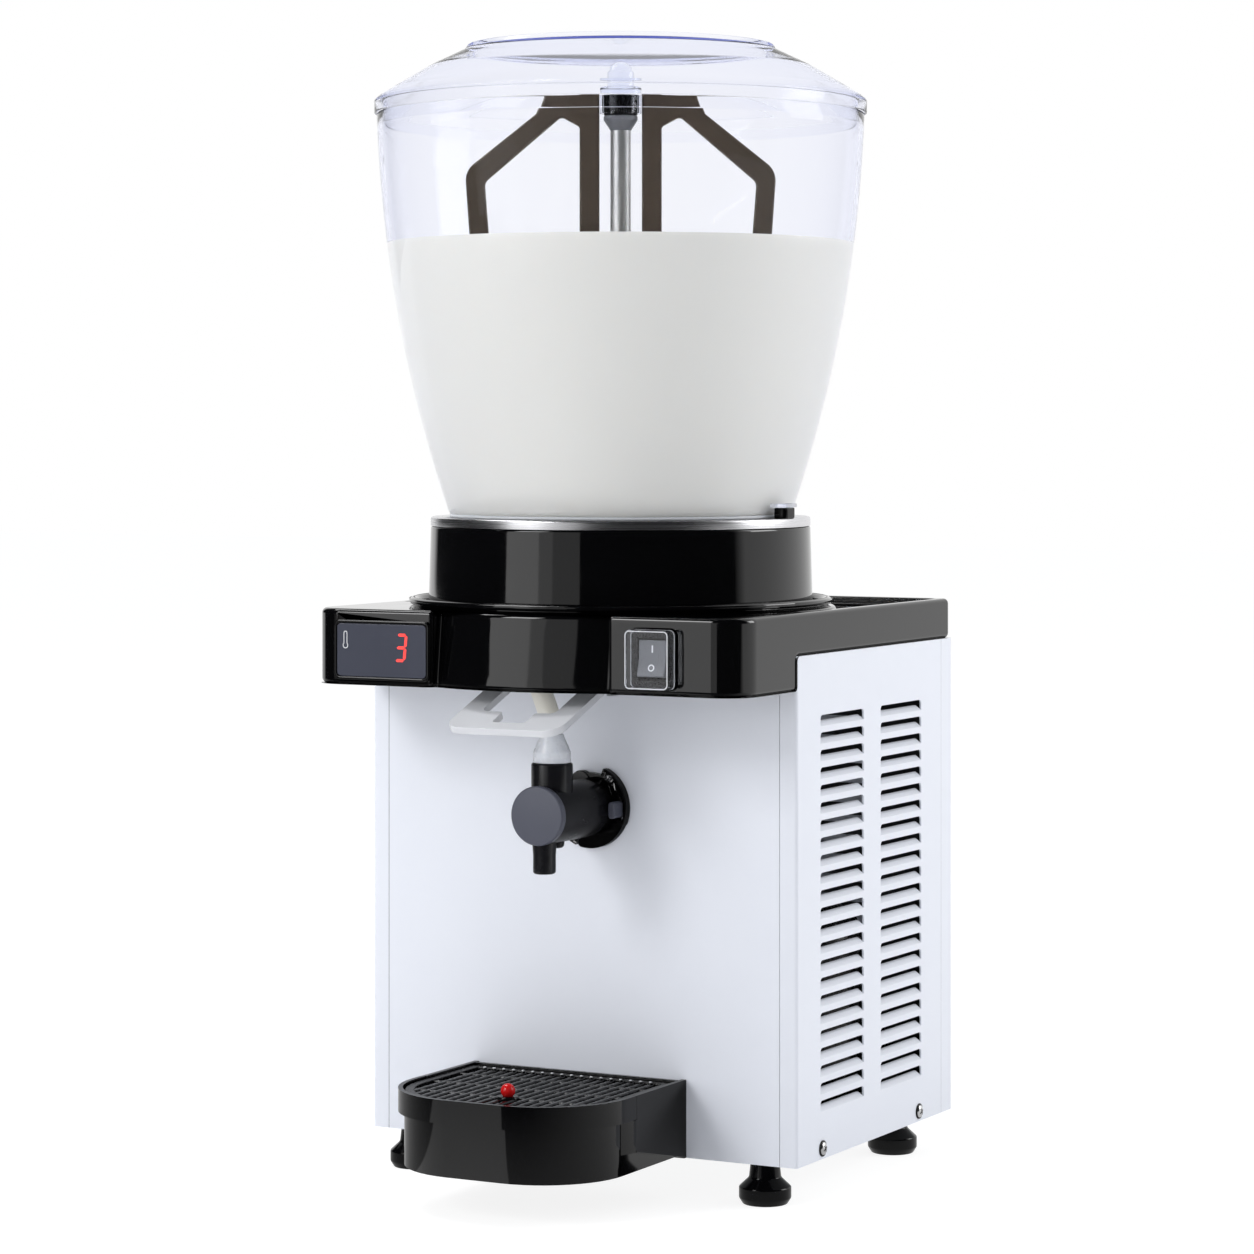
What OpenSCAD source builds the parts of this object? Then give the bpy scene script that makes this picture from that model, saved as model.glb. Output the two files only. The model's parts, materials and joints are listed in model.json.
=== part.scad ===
// Cold drink dispenser with mixer: a refrigerated case, a cooled steel tank,
// a clear bowl with a turning paddle, a pumped tap with a lever, and a drip tray.
// Millimetres. +Z is up, -Y is the front. The origin is on the floor under the bowl's axis.

/* [Case] */
// Width of the case
case_w = 320; // [310:1:340]
// Depth of the case, front panel to rear panel
case_d = 247; // [240:1:265]
// Height of the side panels
panel_h = 329; // [322:1:350]
// Thickness of the sheet metal panels
sheet = 1.2; // [0.8:0.1:2]
// Width of the side panels' flange on the front
front_flange = 12.5; // [10:0.5:16]
// Length of the rear panel's wrap onto the sides
rear_wrap = 17; // [14:0.5:22]
// Distance of the bowl axis behind the front panel
bowl_setback = 58; // [55:1:63]
// Thickness of the base tray and the deck plate
chassis_t = 2; // [1.5:0.1:3]
// Height of the base tray's side upstands
upstand_h = 16; // [14:1:22]
// Leg of the corner uprights' angle section
upright_leg = 15; // [12:0.5:16]
// Height of the deck plate's top below the side panels' top
deck_drop = 5; // [4:0.5:7]

/* [Louvres] */
// Rows of louvres on each side panel
louvre_rows = 23; // [15:1:23]
// Length of one louvre
louvre_len = 67; // [50:1:72]
// Gap between the two columns of louvres
louvre_gap = 27; // [20:1:34]
// Distance of the bottom row's window above the panel's lower edge
louvre_low = 31; // [28:1:45]
// Height of a louvre's window in the sheet
louvre_h = 7.2; // [6:0.1:8.5]
// Open slit left above a louvre's flap
louvre_slit = 3.2; // [2:0.1:4]
// Depth that a louvre's flap is pressed inwards
louvre_depth = 4; // [2.5:0.1:6]
// Distance of the top row's window below the panel's top edge
louvre_top = 40; // [30:1:44]
// Distance of the front column behind the front panel
louvre_front = 35; // [30:1:45]
// Diameter of the side screws' heads
side_screw_d = 9.5; // [8:0.1:11]

/* [Top cover] */
// Drop of the front boxes below the side panels' top
trim_drop = 22.5; // [18:0.5:26]
// Height of the cover above the side panels' top
trim_rise = 27.5; // [25:0.5:32]
// Overhang of the front boxes ahead of the front panel
trim_overhang = 80; // [78:1:84]
// Corner radius of the front boxes
trim_corner = 22; // [14:1:28]
// Wall of the cover
trim_wall = 3; // [2:0.1:4]
// Width of each front box
box_w = 95; // [92:1:100]
// Radius of the drum below the bowl, at its lower edge
drum_r = 148; // [146:0.5:151]
// Radius of the collar lip
collar_r = 142.6; // [141:0.1:144]
// Radius of the opening for the tank
opening_r = 136; // [134:0.5:137]
// Thickness of the collar lip
collar_t = 4.4; // [3:0.1:6]
// Width of the rim round the recessed deck
deck_rim = 9; // [7:0.5:14]
// Depth of the recessed deck
deck_recess = 6; // [4:0.5:9]

/* [Tank] */
// Radius of the black tank shell on the deck
shell_r = 130.4; // [129.5:0.1:131.5]
// Draft of the shell, bottom to top
shell_draft = 2.5; // [1:0.1:3]
// Wall of the shell
shell_wall = 3; // [2:0.1:3.5]
// Height of the shell above the deck plate
shell_h = 86; // [82:1:96]
// Thickness of the steel flange
flange_t = 6; // [4:0.5:8]
// Radius of the steel well
well_r = 105; // [103:0.5:106]
// Depth of the steel well
well_depth = 62; // [58:1:66]
// Wall of the steel well
well_wall = 1.5; // [1:0.1:1.8]
// Radius of the evaporator tube
coil_tube_r = 4; // [3:0.1:4.2]
// Turns of the evaporator coil
coil_turns = 3; // [2:1:3]
// Thickness of the gasket below the bowl
gasket_t = 2; // [1.5:0.1:3]

/* [Bowl and lid] */
// Outer radius of the bowl's foot
bowl_foot_r = 115.4; // [115:0.1:116]
// Outer radius of the bowl's top edge
bowl_top_r = 164.3; // [160:0.1:168]
// Height of the bowl
bowl_h = 269; // [262:1:285]
// Radius of the curve of the bowl's side
bowl_curve_r = 930; // [850:10:1100]
// Wall of the bowl
bowl_wall = 3.5; // [2.5:0.1:3.5]
// Overhang of the lid's rim beyond the bowl
lid_overhang = 1.6; // [1:0.1:3]
// Height of the lid's rim
lid_rim_h = 11; // [8:0.5:14]
// Width of the lid's sloped edge, from its rim to its shoulder
lid_edge = 12.4; // [10:0.2:18]
// Rise of the lid's cone above its rim
lid_rise = 32; // [30:0.5:40]
// Distance of the lid's raised cap in from its rim
lid_cap_in = 62; // [54:1:70]
// Wall of the lid
lid_wall = 2.5; // [2:0.1:3]

/* [Mixer] */
// Diameter of the steel column
column_d = 14; // [13.4:0.2:16]
// Diameter of the drive shaft
shaft_d = 8; // [7:0.2:8.4]
// Distance of the column's top below the bowl's top edge
column_drop = 11; // [9:0.5:14]
// Height of the grey cone on the column
cone_h = 10; // [8:0.5:12]
// Diameter of the drive coupling
coupling_d = 23; // [20:0.2:24]
// Height of the drive coupling
coupling_h = 14.5; // [12:0.5:16]
// Outer diameter of the paddle hub
hub_d = 28; // [27:0.2:30]
// Height of the hub's dome
dome_h = 15; // [10:0.5:16]
// Reach of the paddle from the axis
paddle_reach = 105; // [98:0.5:107]
// Width of the paddle's bars
paddle_bar = 13.4; // [11:0.2:15]
// Thickness of the paddle
paddle_t = 8; // [5:0.5:9]
// Length of the paddle's flat top edge from the axis
paddle_top_r = 40; // [37:0.5:46]
// Fall of the paddle's slanted bar
paddle_slant = 52; // [46:1:56]
// Angle of the paddle at rest
mixer_angle = 28.3; // [0:0.1:60]

/* [Tap] */
// Offset of the pump from the middle of the case
pump_x = 10.5; // [8:0.5:13]
// Distance of the pump's axis below the side panels' top
pump_drop = 103; // [99:1:107]
// Radius of the flange on the panel
pump_flange_r = 27.5; // [26.5:0.5:31]
// Radius of the pump's body
pump_r = 19.2; // [18.6:0.1:19.6]
// Reach of the pump from the panel to its front cap
pump_reach = 75.6; // [74:0.2:78]
// Distance of the inlet ahead of the panel
inlet_y = 55; // [54:0.5:56]
// Radius of the inlet socket
inlet_r = 13.5; // [12.5:0.1:14]
// Height of the inlet's rim above the pump's axis
inlet_h = 33; // [31:0.5:36]
// Height of the funnel, to the hose's end
funnel_h = 18.5; // [16:0.5:20]
// Distance of the spout ahead of the panel
spout_y = 65; // [63:0.5:65.5]
// Radius of the spout
spout_r = 7.4; // [6.5:0.1:7.8]
// Radius of the spout's bore
spout_bore_r = 4.5; // [3.5:0.1:5]
// Length of the spout below the pump's axis
spout_len = 38; // [34:0.5:44]
// Outer radius of the drink hose
hose_r = 7; // [6.6:0.1:7.6]
// Radius of the hose's bore
hose_bore_r = 5; // [4.8:0.1:5.4]

/* [Lever] */
// Width of the lever
lever_w = 84; // [80:1:90]
// Offset of the lever from the middle of the case
lever_x = 2; // [0:0.5:5]
// Length of the lever from its pin to the front edge
lever_len = 77; // [74:0.5:84]
// Slope of the lever at rest
lever_slope = 21; // [18:0.5:24]
// Thickness of the lever
lever_t = 4.6; // [3.5:0.1:6]
// Width of the lever's legs
lever_leg = 15; // [11:0.5:15.5]
// Distance of the lever's pin ahead of the front panel
lever_pin_y = 36; // [34:0.5:37]
// Radius of the lever's pin
lever_pin_r = 2.5; // [2:0.1:3]

/* [Drip tray] */
// Width of the tray
tray_w = 160; // [152:1:170]
// Reach of the tray ahead of the front panel
tray_reach = 141; // [134:1:148]
// Radius of the tray's front corners
tray_corner = 60; // [50:1:64]
// Height of the tray's rim above the floor
tray_top = 77; // [72:1:84]
// Height of the tray's underside above the floor
tray_low = 27.5; // [24:0.5:30]
// Height of the rim band
rim_h = 15; // [13:0.5:18]
// Step of the tray's body in from its rim
rim_step = 4; // [3.5:0.1:5]
// Wall of the tray
tray_wall = 2.5; // [2:0.1:3.5]
// Thickness of the grille
grille_t = 5; // [4:0.1:6]
// Number of grille bars
grille_bars = 18; // [12:1:20]
// Diameter of the float's ball
float_d = 9.3; // [7:0.1:10.5]
// Distance of the float ahead of the front panel
float_y = 105; // [98:0.5:110]
// Offset of the float from the middle of the tray
float_x = 6.4; // [2:0.1:10]

/* [Electrics] */
// Width of the display
display_w = 73; // [68:0.5:76]
// Height of the display
display_h = 39.4; // [36:0.2:42]
// Width of the switch
switch_w = 31.5; // [29:0.5:34]
// Height of the switch
switch_h = 37.6; // [36:0.2:41]
// Distance of the switch's middle in from the case's side
switch_in = 61.6; // [56:0.2:65]
// Depth of the switch's clear cover
cover_depth = 9; // [8:0.2:11]
// Tilt of the rocker each way
rocker_tilt = 8; // [5:0.5:10]

/* [Cooling unit] */
// Radius of the compressor
compressor_r = 58; // [50:1:60]
// Height of the compressor's can
compressor_h = 110; // [95:1:125]
// Width of the condenser
condenser_w = 140; // [136:1:144]
// Height of the condenser
condenser_h = 180; // [165:1:200]
// Thickness of the condenser
condenser_t = 36; // [28:1:38]
// Radius of the fan
fan_r = 62; // [54:1:63]
// Blades of the fan
fan_count = 5; // [3:1:7]
// Outer radius of the power gland
gland_r = 9; // [7.5:0.1:11]
// Radius of the power gland's bore
gland_bore_r = 4.2; // [3.2:0.1:5]
// Length of the power gland behind the rear panel
gland_len = 10; // [8:0.5:16]

/* [Feet] */
// Height of the feet
foot_h = 26; // [22:1:32]
// Radius of a foot's pad
foot_r = 17; // [14:0.5:20]
// Radius of a foot's neck
foot_neck_r = 9.5; // [8:0.5:11]
// Radius of a foot's stud
stud_r = 4; // [3:0.5:5]
// Distance of the feet in from the case's sides
foot_in = 27.6; // [26:0.2:38]
// Distance of the front feet behind the front panel
foot_front = 9.6; // [9.6:0.2:20]
// Distance of the rear feet ahead of the rear panel
foot_rear = 38; // [35:1:47]

/* [Hidden] */
$fn = 96;
// Clearance between separate pieces, gap between fixed neighbours, running clearance of a shaft,
// and length of a cut past a face
fit = 0.3;
seat = 0.2;
run = 0.05;
over = 1;

// Faces of the case
half_w = case_w / 2;
panel_y = -bowl_setback;
rear_y = panel_y + case_d;
case_top = foot_h + panel_h;
inner_x = half_w - sheet - fit;
inner_front = panel_y + sheet + fit;
inner_rear = rear_y - sheet - fit;
base_top = foot_h + chassis_t;
deck_top = case_top - deck_drop;
deck_low = deck_top - chassis_t;
screw_up = 7;
screw_front = 38;
screw_rear = 55;
screw_z = foot_h + screw_up;
screw_ys = [panel_y + screw_front, rear_y - screw_rear];
screw_shank_r = 2;
screw_head_h = 2.4;
screw_len = 9;
feet_at = [for (s = [-1, 1], y = [panel_y + foot_front, rear_y - foot_rear]) [s * (half_w - foot_in), y]];
boss_r = stud_r + 4;
boss_h = 10;

// Levels of the top cover and its collar
trim_front = panel_y - trim_overhang;
skirt_low = case_top - trim_drop;
trim_top = case_top + trim_rise;
lip_low = trim_top + 1.4;
box_edge_r = 3;
rear_corner_r = 6;
cutout_r = 1;
lip_top = lip_low + collar_t;
neck_r = (opening_r + collar_r) / 2 - 1;
notch_y = -0.8 * collar_r;
recess_front = -30;

// Levels of the tank
shell_top = deck_top + shell_h;
flange_r = shell_r - shell_draft;
flange_top = shell_top + flange_t;
well_low = flange_top - well_depth;
well_out = well_r + well_wall;
coil_sides = 32;
coil_r = (well_out + fit + coil_tube_r) / cos(180 / coil_sides);
coil_low = well_low + 21;
coil_pitch = (shell_top - 2 * coil_tube_r - coil_low) / coil_turns;
tail_low = deck_low - 6;
return_r = coil_r + 2 * coil_tube_r + 0.8;
coil_start = 130;
return_angle = 50;
tail_slot = 4 * coil_tube_r;
foam_in = coil_r + coil_tube_r + 0.5;
foam_out = flange_r - shell_wall - fit;
deck_disc_r = shell_r + 3.6;
hose_sides = 12;
nipple_r = 6;
nipple_bore_r = 3.6;
nipple_y = -(well_out + 7.5);
nipple_z = well_low + 9;
barb_r = hose_bore_r * cos(180 / hose_sides) - seat;
barb_len = 5;

// Levels of the bowl and the mixer
bowl_low = flange_top + gasket_t;
bowl_top = bowl_low + bowl_h;
lug_low = flange_top + 7.2;
lug_t = 2.6;
lug_w = 22;
lug_corner = 3;
post_w = 15;
gasket_step = 3;
post_in = bowl_foot_r + 2.5;
column_top = bowl_top - column_drop;
cone_top = column_top + cone_h;
coupling_low = cone_top + fit;
coupling_top = coupling_low + coupling_h;
shaft_low = deck_low - 27;
shaft_top = coupling_top - 5;
column_bore_r = shaft_d / 2 + 1;
column_seat_r = column_d / 2 + 7;
column_seat_t = 3;
bush_len = 12;
bush_in = 2;
cone_edge = 2;
gear_boss_top = deck_top + 8;
gear_boss_r = column_d / 2 + 8;
gear_low = deck_low - 36;
gear_half_w = 32;
gear_half_d = 28;
motor_can_r = 25;
motor_can_y = 40;
motor_can_h = 42;
hub_roof = 6;
paddle_low = well_low + 6;
paddle_lean = 0.07;

// Places of the tap, its hose and its lever
pump_z = case_top - pump_drop;
pump_front = panel_y - pump_reach;
pump_cap_t = 4.6;
chamber_r = pump_r - 3.2;
chamber_back = 6;
socket_wall = 2;
socket_h = 8;
pump_shaft_in = 15;
pump_shaft_r = 3;
pump_motor_r = 22;
pump_motor_len = 60;
flange_screw_r = (pump_flange_r + pump_r + 1) / 2 + 0.4;
flange_screw_head = 3;
flange_shank_r = 1.5;
shaft_hole_r = pump_shaft_r + 3;
flange_screw_angles = [51, 231];
flange_base_r = pump_r + 3.3;
wing_back = 57;
wing_ahead = 17;
pump_flange_t = 5;
flange_seat_y = panel_y - pump_flange_t / 2;
funnel_top = pump_z + inlet_h + funnel_h;
lever_y = panel_y - lever_pin_y;
lever_z = deck_low - 12.5;
ear_t = 3;
lever_out = lever_w / 2;
lever_in = lever_out - lever_leg;

// Places of the drip tray
tray_rear = panel_y - 4;
tray_front = panel_y - tray_reach;
tray_half = tray_w / 2;
bracket_t = 3;
rim_low = tray_top - rim_h;
ledge_z = tray_top - grille_t - 1.6;
rim_wall = 3;
ledge_in = rim_step + tray_wall;
grille_in = rim_step + fit;
cheek_len = 68.5;
cheek_end = panel_y - cheek_len;
grille_z = ledge_z + 0.1;
grille_frame = 6;
grille_bar = 4.2;
float_stem_r = 2;
float_disc_r = 10;

// Places of the electrics in the two front boxes
box_gap = case_w - 2 * box_w;
box_z = (skirt_low + trim_top) / 2 - 1.8;
display_in = 21;
display_x = display_in + display_w / 2 - half_w;
switch_x = half_w - switch_in;
bezel_t = 3;
bezel_lip = 2.2;
window_t = 1.6;
thermostat_w = display_w - 9.2;
thermostat_h = display_h - 9.2;
thermostat_len = 22;
switch_flange_t = 2;
switch_body_w = switch_w - 4.8;
switch_body_h = switch_h - 4.8;
switch_body_len = 26;
rocker_in = 3.2;
rocker_well = 10;
cover_wall = 1.2;

// Places of the cooling unit
condenser_in = 10;
condenser_back = 52;
condenser_x = condenser_in - half_w;
condenser_y = panel_y + condenser_back;
condenser_fins = 22;
fan_y = condenser_y + condenser_w / 2;
fan_z = base_top + condenser_h / 2;
shroud_x = condenser_x + condenser_t + fit;
shroud_t = 2.5;
duct_len = 20;
arm_x = shroud_x + shroud_t + duct_len;
arm_t = 4;
fan_motor_r = 25;
fan_motor_len = 36;
fan_shaft_r = 3;
fan_shaft_in = 12;
compressor_in = 95;
compressor_back = 77;
mount_h = 12;
discharge_up = 80;
compressor_x = half_w - compressor_in;
compressor_y = rear_y - compressor_back;
compressor_low = base_top + mount_h;
compressor_top = compressor_low + compressor_h + compressor_r * 0.55;
mount_r = 7;
mount_in = 10;
stub_len = 12;
discharge_z = compressor_low + discharge_up;
drier_in = 76;
drier_back = 23;
drier_up = 32;
drier_len = 90;
drier_r = 9;
drier_at = [drier_in - half_w, rear_y - drier_back];
drier_z = [base_top + drier_up, base_top + drier_up + drier_len];
pipe_r = 3;
suction_r = 4;
gland_side = 55;
gland_up = 44;
gland_x = half_w - gland_side;
gland_z = foot_h + gland_up;
gland_in = 8;
gland_flange = 3;
nut_t = 4;

// Unit vector along a vector
function unit(v) = v / norm(v);

// Outline with each corner rounded to its own radius, in the given number of steps
function rounded(points, radii, steps = 6) = [
    for (i = [0:len(points) - 1])
        let (
            p = points[i],
            a = unit(points[(i + len(points) - 1) % len(points)] - p),
            b = unit(points[(i + 1) % len(points)] - p),
            half = acos(a * b) / 2,
            c = p + unit(a + b) * radii[i] / sin(half),
            from = p + a * radii[i] / tan(half) - c,
            to = p + b * radii[i] / tan(half) - c,
            start = atan2(from[1], from[0]),
            sweep = (atan2(to[1], to[0]) - start + 540) % 360 - 180
        )
        if (radii[i] == 0) p
        else for (k = [0:steps])
            let (turn = start + sweep * k / steps) c + radii[i] * [cos(turn), sin(turn)]
];

// Route with its corners cut twice, so that it bends gently
function eased(p) = concat([p[0]], [for (i = [0:len(p) - 2], k = [0.25, 0.75])
    (1 - k) * p[i] + k * p[i + 1]], [p[len(p) - 1]]);
function bent(p) = eased(eased(p));

// Directions along a route, and a side direction carried along it without twist
function headings(p) = [for (i = [0:len(p) - 1]) unit(p[min(i + 1, len(p) - 1)] - p[max(i - 1, 0)])];
function carried(t, side, i = 0) = let (s = unit(side - (side * t[i]) * t[i]))
    i == len(t) - 1 ? [s] : concat([s], carried(t, s, i + 1));

// Ring of points round each point of a route
function sleeve(p, r, sides, side) = let (t = headings(p), s = carried(t, side))
    [for (i = [0:len(p) - 1], k = [0:sides - 1]) let (a = 360 * (k + 0.5) / sides)
        p[i] + r * (cos(a) * s[i] + sin(a) * cross(t[i], s[i]))];

// Closed rod along a route
module swept_rod(p, r, sides, side) {
    n = len(p);
    polyhedron(sleeve(p, r, sides, side), concat(
        [[for (k = [0:sides - 1]) k]],
        [for (i = [0:n - 2], k = [0:sides - 1]) let (a = i * sides + k, b = i * sides + (k + 1) % sides)
            each [[a, a + sides, b + sides], [a, b + sides, b]]],
        [[for (k = [sides - 1:-1:0]) (n - 1) * sides + k]]));
}

// Plain box between two corners
module block(low, high) {
    translate(low) cube(high - low);
}

// Round bars along the three axes
module bar_z(r, z0, z1) {
    translate([0, 0, z0]) cylinder(r = r, h = z1 - z0);
}
module bar_y(r, y0, y1) {
    translate([0, y1, 0]) rotate([90, 0, 0]) cylinder(r = r, h = y1 - y0);
}
module bar_x(r, x0, x1) {
    translate([x0, 0, 0]) rotate([0, 90, 0]) cylinder(r = r, h = x1 - x0);
}

// Upright ring between two radii
module ring(ro, ri, z0, z1) {
    difference() {
        bar_z(ro, z0, z1);
        bar_z(ri, z0 - over, z1 + over);
    }
}

// Plate across X from an outline in Y and Z, and a plate across Y from an outline in X and Z
module plate_x(x0, x1) {
    translate([x0, 0, 0]) rotate([90, 0, 90]) linear_extrude(x1 - x0) children();
}
module plate_y(y0, y1) {
    translate([0, y1, 0]) rotate([90, 0, 0]) linear_extrude(y1 - y0) children();
}

// Rectangle with rounded corners about a centre
module round_square(w, h, r) {
    polygon(rounded([[-w / 2, -h / 2], [w / 2, -h / 2], [w / 2, h / 2], [-w / 2, h / 2]], [r, r, r, r]));
}

// Sheet metal pan that carries the cooling unit, with a nut boss over each foot
module base_tray() {
    color("gainsboro") difference() {
        union() {
            block([-inner_x, inner_front, foot_h], [inner_x, inner_rear, base_top]);
            for (s = [-1, 1])
                block([s * (inner_x - chassis_t / 2) - chassis_t / 2, inner_front, foot_h],
                    [s * (inner_x - chassis_t / 2) + chassis_t / 2, inner_rear, foot_h + upstand_h]);
            for (p = feet_at)
                translate(p) bar_z(boss_r, foot_h, base_top + boss_h);
        }
        for (p = feet_at)
            translate(p) bar_z(stud_r + run, foot_h - over, base_top + boss_h + over);
        for (y = screw_ys)
            translate([0, y, screw_z]) bar_x(screw_shank_r + fit, -half_w, half_w);
    }
}

// Four angle uprights between the base tray and the deck plate
module corner_uprights() {
    color("silver") for (s = [-1, 1], r = [0, 1])
        let (x = inner_x - chassis_t, y = r ? inner_rear : inner_front, d = r ? -1 : 1)
            translate([s * x, y, base_top]) linear_extrude(deck_low - base_top)
                scale([-s, d]) polygon([[0, 0], [upright_leg, 0], [upright_leg, chassis_t],
                    [chassis_t, chassis_t], [chassis_t, upright_leg], [0, upright_leg]]);
}

// Plate that closes the case and carries the tank, with holes for the drive, the pipes and the outlet
module deck_plate() {
    color("silver") difference() {
        translate([0, 0, deck_low]) linear_extrude(chassis_t) union() {
            translate([-inner_x, inner_front]) square([2 * inner_x, inner_rear - inner_front]);
            circle(deck_disc_r);
        }
        bar_z(gear_boss_r + over, deck_low - over, deck_top + over);
        translate([0, nipple_y, 0]) bar_z(nipple_r + fit, deck_low - over, deck_top + over);
        for (a = [[coil_r, coil_start], [return_r, return_angle]])
            rotate([0, 0, a[1]]) translate([a[0], 0, 0])
                bar_z(coil_tube_r + 2 * fit, deck_low - over, deck_top + over);
    }
}

// Painted front panel with the hole for the pump's shaft and its flange screws
module front_panel() {
    w = half_w - front_flange - fit / 2;
    color("white") difference() {
        block([-w, panel_y, foot_h], [w, panel_y + sheet, deck_low]);
        translate([pump_x, 0, pump_z]) {
            bar_y(shaft_hole_r, panel_y - over, panel_y + sheet + over);
            for (a = flange_screw_angles)
                rotate([0, -a, 0]) translate([flange_screw_r, 0, 0])
                    bar_y(flange_shank_r + fit, panel_y - over, panel_y + sheet + over);
        }
    }
}

// Heights of the louvre windows' lower edges, and the front ends of the two columns
louvre_pitch = (panel_h - louvre_low - louvre_top - louvre_h) / (louvre_rows - 1);
louvre_zs = [for (i = [0:louvre_rows - 1]) foot_h + louvre_low + i * louvre_pitch];
louvre_ys = [for (c = [0, 1]) panel_y + louvre_front + c * (louvre_len + louvre_gap)];

// Painted side panel with pressed louvres and a flange that turns onto the front
module side_panel() {
    difference() {
        union() {
            plate_x(half_w - sheet, half_w) difference() {
                translate([panel_y, foot_h]) square([case_d - rear_wrap - fit, panel_h]);
                for (y = louvre_ys, z = louvre_zs)
                    translate([y, z]) square([louvre_len, louvre_h]);
            }
            block([half_w - front_flange, panel_y, foot_h],
                [half_w - sheet / 2, panel_y + sheet, case_top]);
            for (y = louvre_ys)
                plate_y(y + fit, y + louvre_len - fit) for (z = louvre_zs)
                    polygon([[half_w - sheet, z - fit], [half_w, z - fit], [half_w, z],
                        [half_w - louvre_depth, z + louvre_h - louvre_slit],
                        [half_w - louvre_depth - sheet, z + louvre_h - louvre_slit], [half_w - sheet, z]]);
        }
        for (y = screw_ys)
            translate([0, y, screw_z]) bar_x(screw_shank_r + fit, half_w - sheet - over, half_w + over);
    }
}
module right_side_panel() {
    color("white") side_panel();
}
module left_side_panel() {
    color("white") mirror([1, 0, 0]) side_panel();
}

// Painted rear panel that wraps onto both sides, with air slots and the gland's hole
module rear_panel() {
    slot = [96, 4 * sheet, 4];
    slot_gap = 20;
    slot_pitch = 14;
    slot_rows = 12;
    slot_top = case_top - 60;
    color("white") difference() {
        union() {
            block([-half_w, rear_y - sheet, foot_h], [half_w, rear_y, case_top]);
            for (s = [-1, 1])
                block([s * (half_w - sheet / 2) - sheet / 2, rear_y - rear_wrap, foot_h],
                    [s * (half_w - sheet / 2) + sheet / 2, rear_y, case_top]);
        }
        for (s = [-1, 1], i = [0:slot_rows - 1])
            translate([s * (slot[0] + slot_gap) / 2, rear_y, slot_top - i * slot_pitch])
                cube(slot, center = true);
        translate([gland_x, 0, gland_z]) bar_y(gland_r - 1 + fit, rear_y - sheet - over, rear_y + over);
    }
}

// Plan of the top cover, drawn in by an inset, with the gap between its two front boxes
module cover_plan(inset) {
    x = half_w - inset;
    g = box_gap / 2 + inset;
    front = trim_front + inset;
    corner = trim_corner - inset;
    rear = rear_y - inset;
    polygon(rounded([[-x, front], [-g, front], [-g, notch_y], [g, notch_y], [g, front], [x, front],
        [x, rear], [-x, rear]],
        [corner, box_edge_r, 0, 0, box_edge_r, corner, rear_corner_r, rear_corner_r]));
}

// Drum ahead of the case, drawn in by an inset
module drum(inset, low, high) {
    rotate_extrude() polygon([[0, low], [drum_r - inset, low], [collar_r - inset, high], [0, high]]);
}

// Space ahead of, or behind, a plane across Y
module ahead_of(y) {
    translate([-case_w, y - 2 * case_d, 0]) cube([2 * case_w, 2 * case_d, 3 * case_top]);
}

// Black moulded top cover: two front boxes, the drum, the side band, a recessed deck and the collar
module top_cover() {
    color([0.06, 0.06, 0.07]) difference() {
        union() {
            intersection() {
                union() {
                    translate([0, 0, skirt_low]) linear_extrude(trim_top - skirt_low) cover_plan(0);
                    drum(0, skirt_low, trim_top);
                }
                ahead_of(panel_y - fit);
            }
            translate([0, 0, case_top]) linear_extrude(trim_rise) cover_plan(0);
            bar_z(neck_r, case_top, lip_low + over / 2);
            bar_z(collar_r, lip_low, lip_top);
        }
        intersection() {
            translate([0, 0, skirt_low - over]) linear_extrude(trim_top - trim_wall - skirt_low + over)
                cover_plan(trim_wall);
            ahead_of(recess_front - trim_wall);
        }
        difference() {
            translate([0, 0, case_top - over])
                linear_extrude(trim_rise - deck_recess - trim_wall + over) cover_plan(trim_wall);
            ahead_of(panel_y);
        }
        drum(trim_wall, skirt_low - over, trim_top - trim_wall);
        bar_z(opening_r, case_top - over, lip_top + over);
        difference() {
            translate([0, 0, trim_top - deck_recess]) linear_extrude(deck_recess + over) difference() {
                cover_plan(deck_rim);
                circle(collar_r + trim_wall);
            }
            ahead_of(recess_front);
        }
        translate([display_x, 0, box_z]) plate_y(trim_front - over, trim_front + trim_wall + over)
            round_square(thermostat_w + fit, thermostat_h + fit, cutout_r);
        translate([switch_x, 0, box_z]) plate_y(trim_front - over, trim_front + trim_wall + over)
            round_square(switch_body_w + fit, switch_body_h + fit, cutout_r);
    }
}

// Black outer shell of the tank
module tank_shell() {
    color([0.05, 0.05, 0.06]) rotate_extrude() polygon([[shell_r - shell_wall, deck_top],
        [shell_r, deck_top], [flange_r, shell_top], [flange_r - shell_wall, shell_top]]);
}

// Steel tank: a flange on the shell and a well with holes for the column and the outlet
module steel_tank() {
    color("silver") difference() {
        rotate_extrude() polygon([[column_d / 2 + fit, well_low - well_wall],
            [well_out, well_low - well_wall], [well_out, shell_top], [flange_r, shell_top],
            [flange_r, flange_top], [well_r, flange_top],
            [well_r, well_low], [column_d / 2 + fit, well_low]]);
        translate([0, 0, nipple_z]) bar_y(nipple_r + run, -well_out - over, -well_r + over);
    }
}

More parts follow.
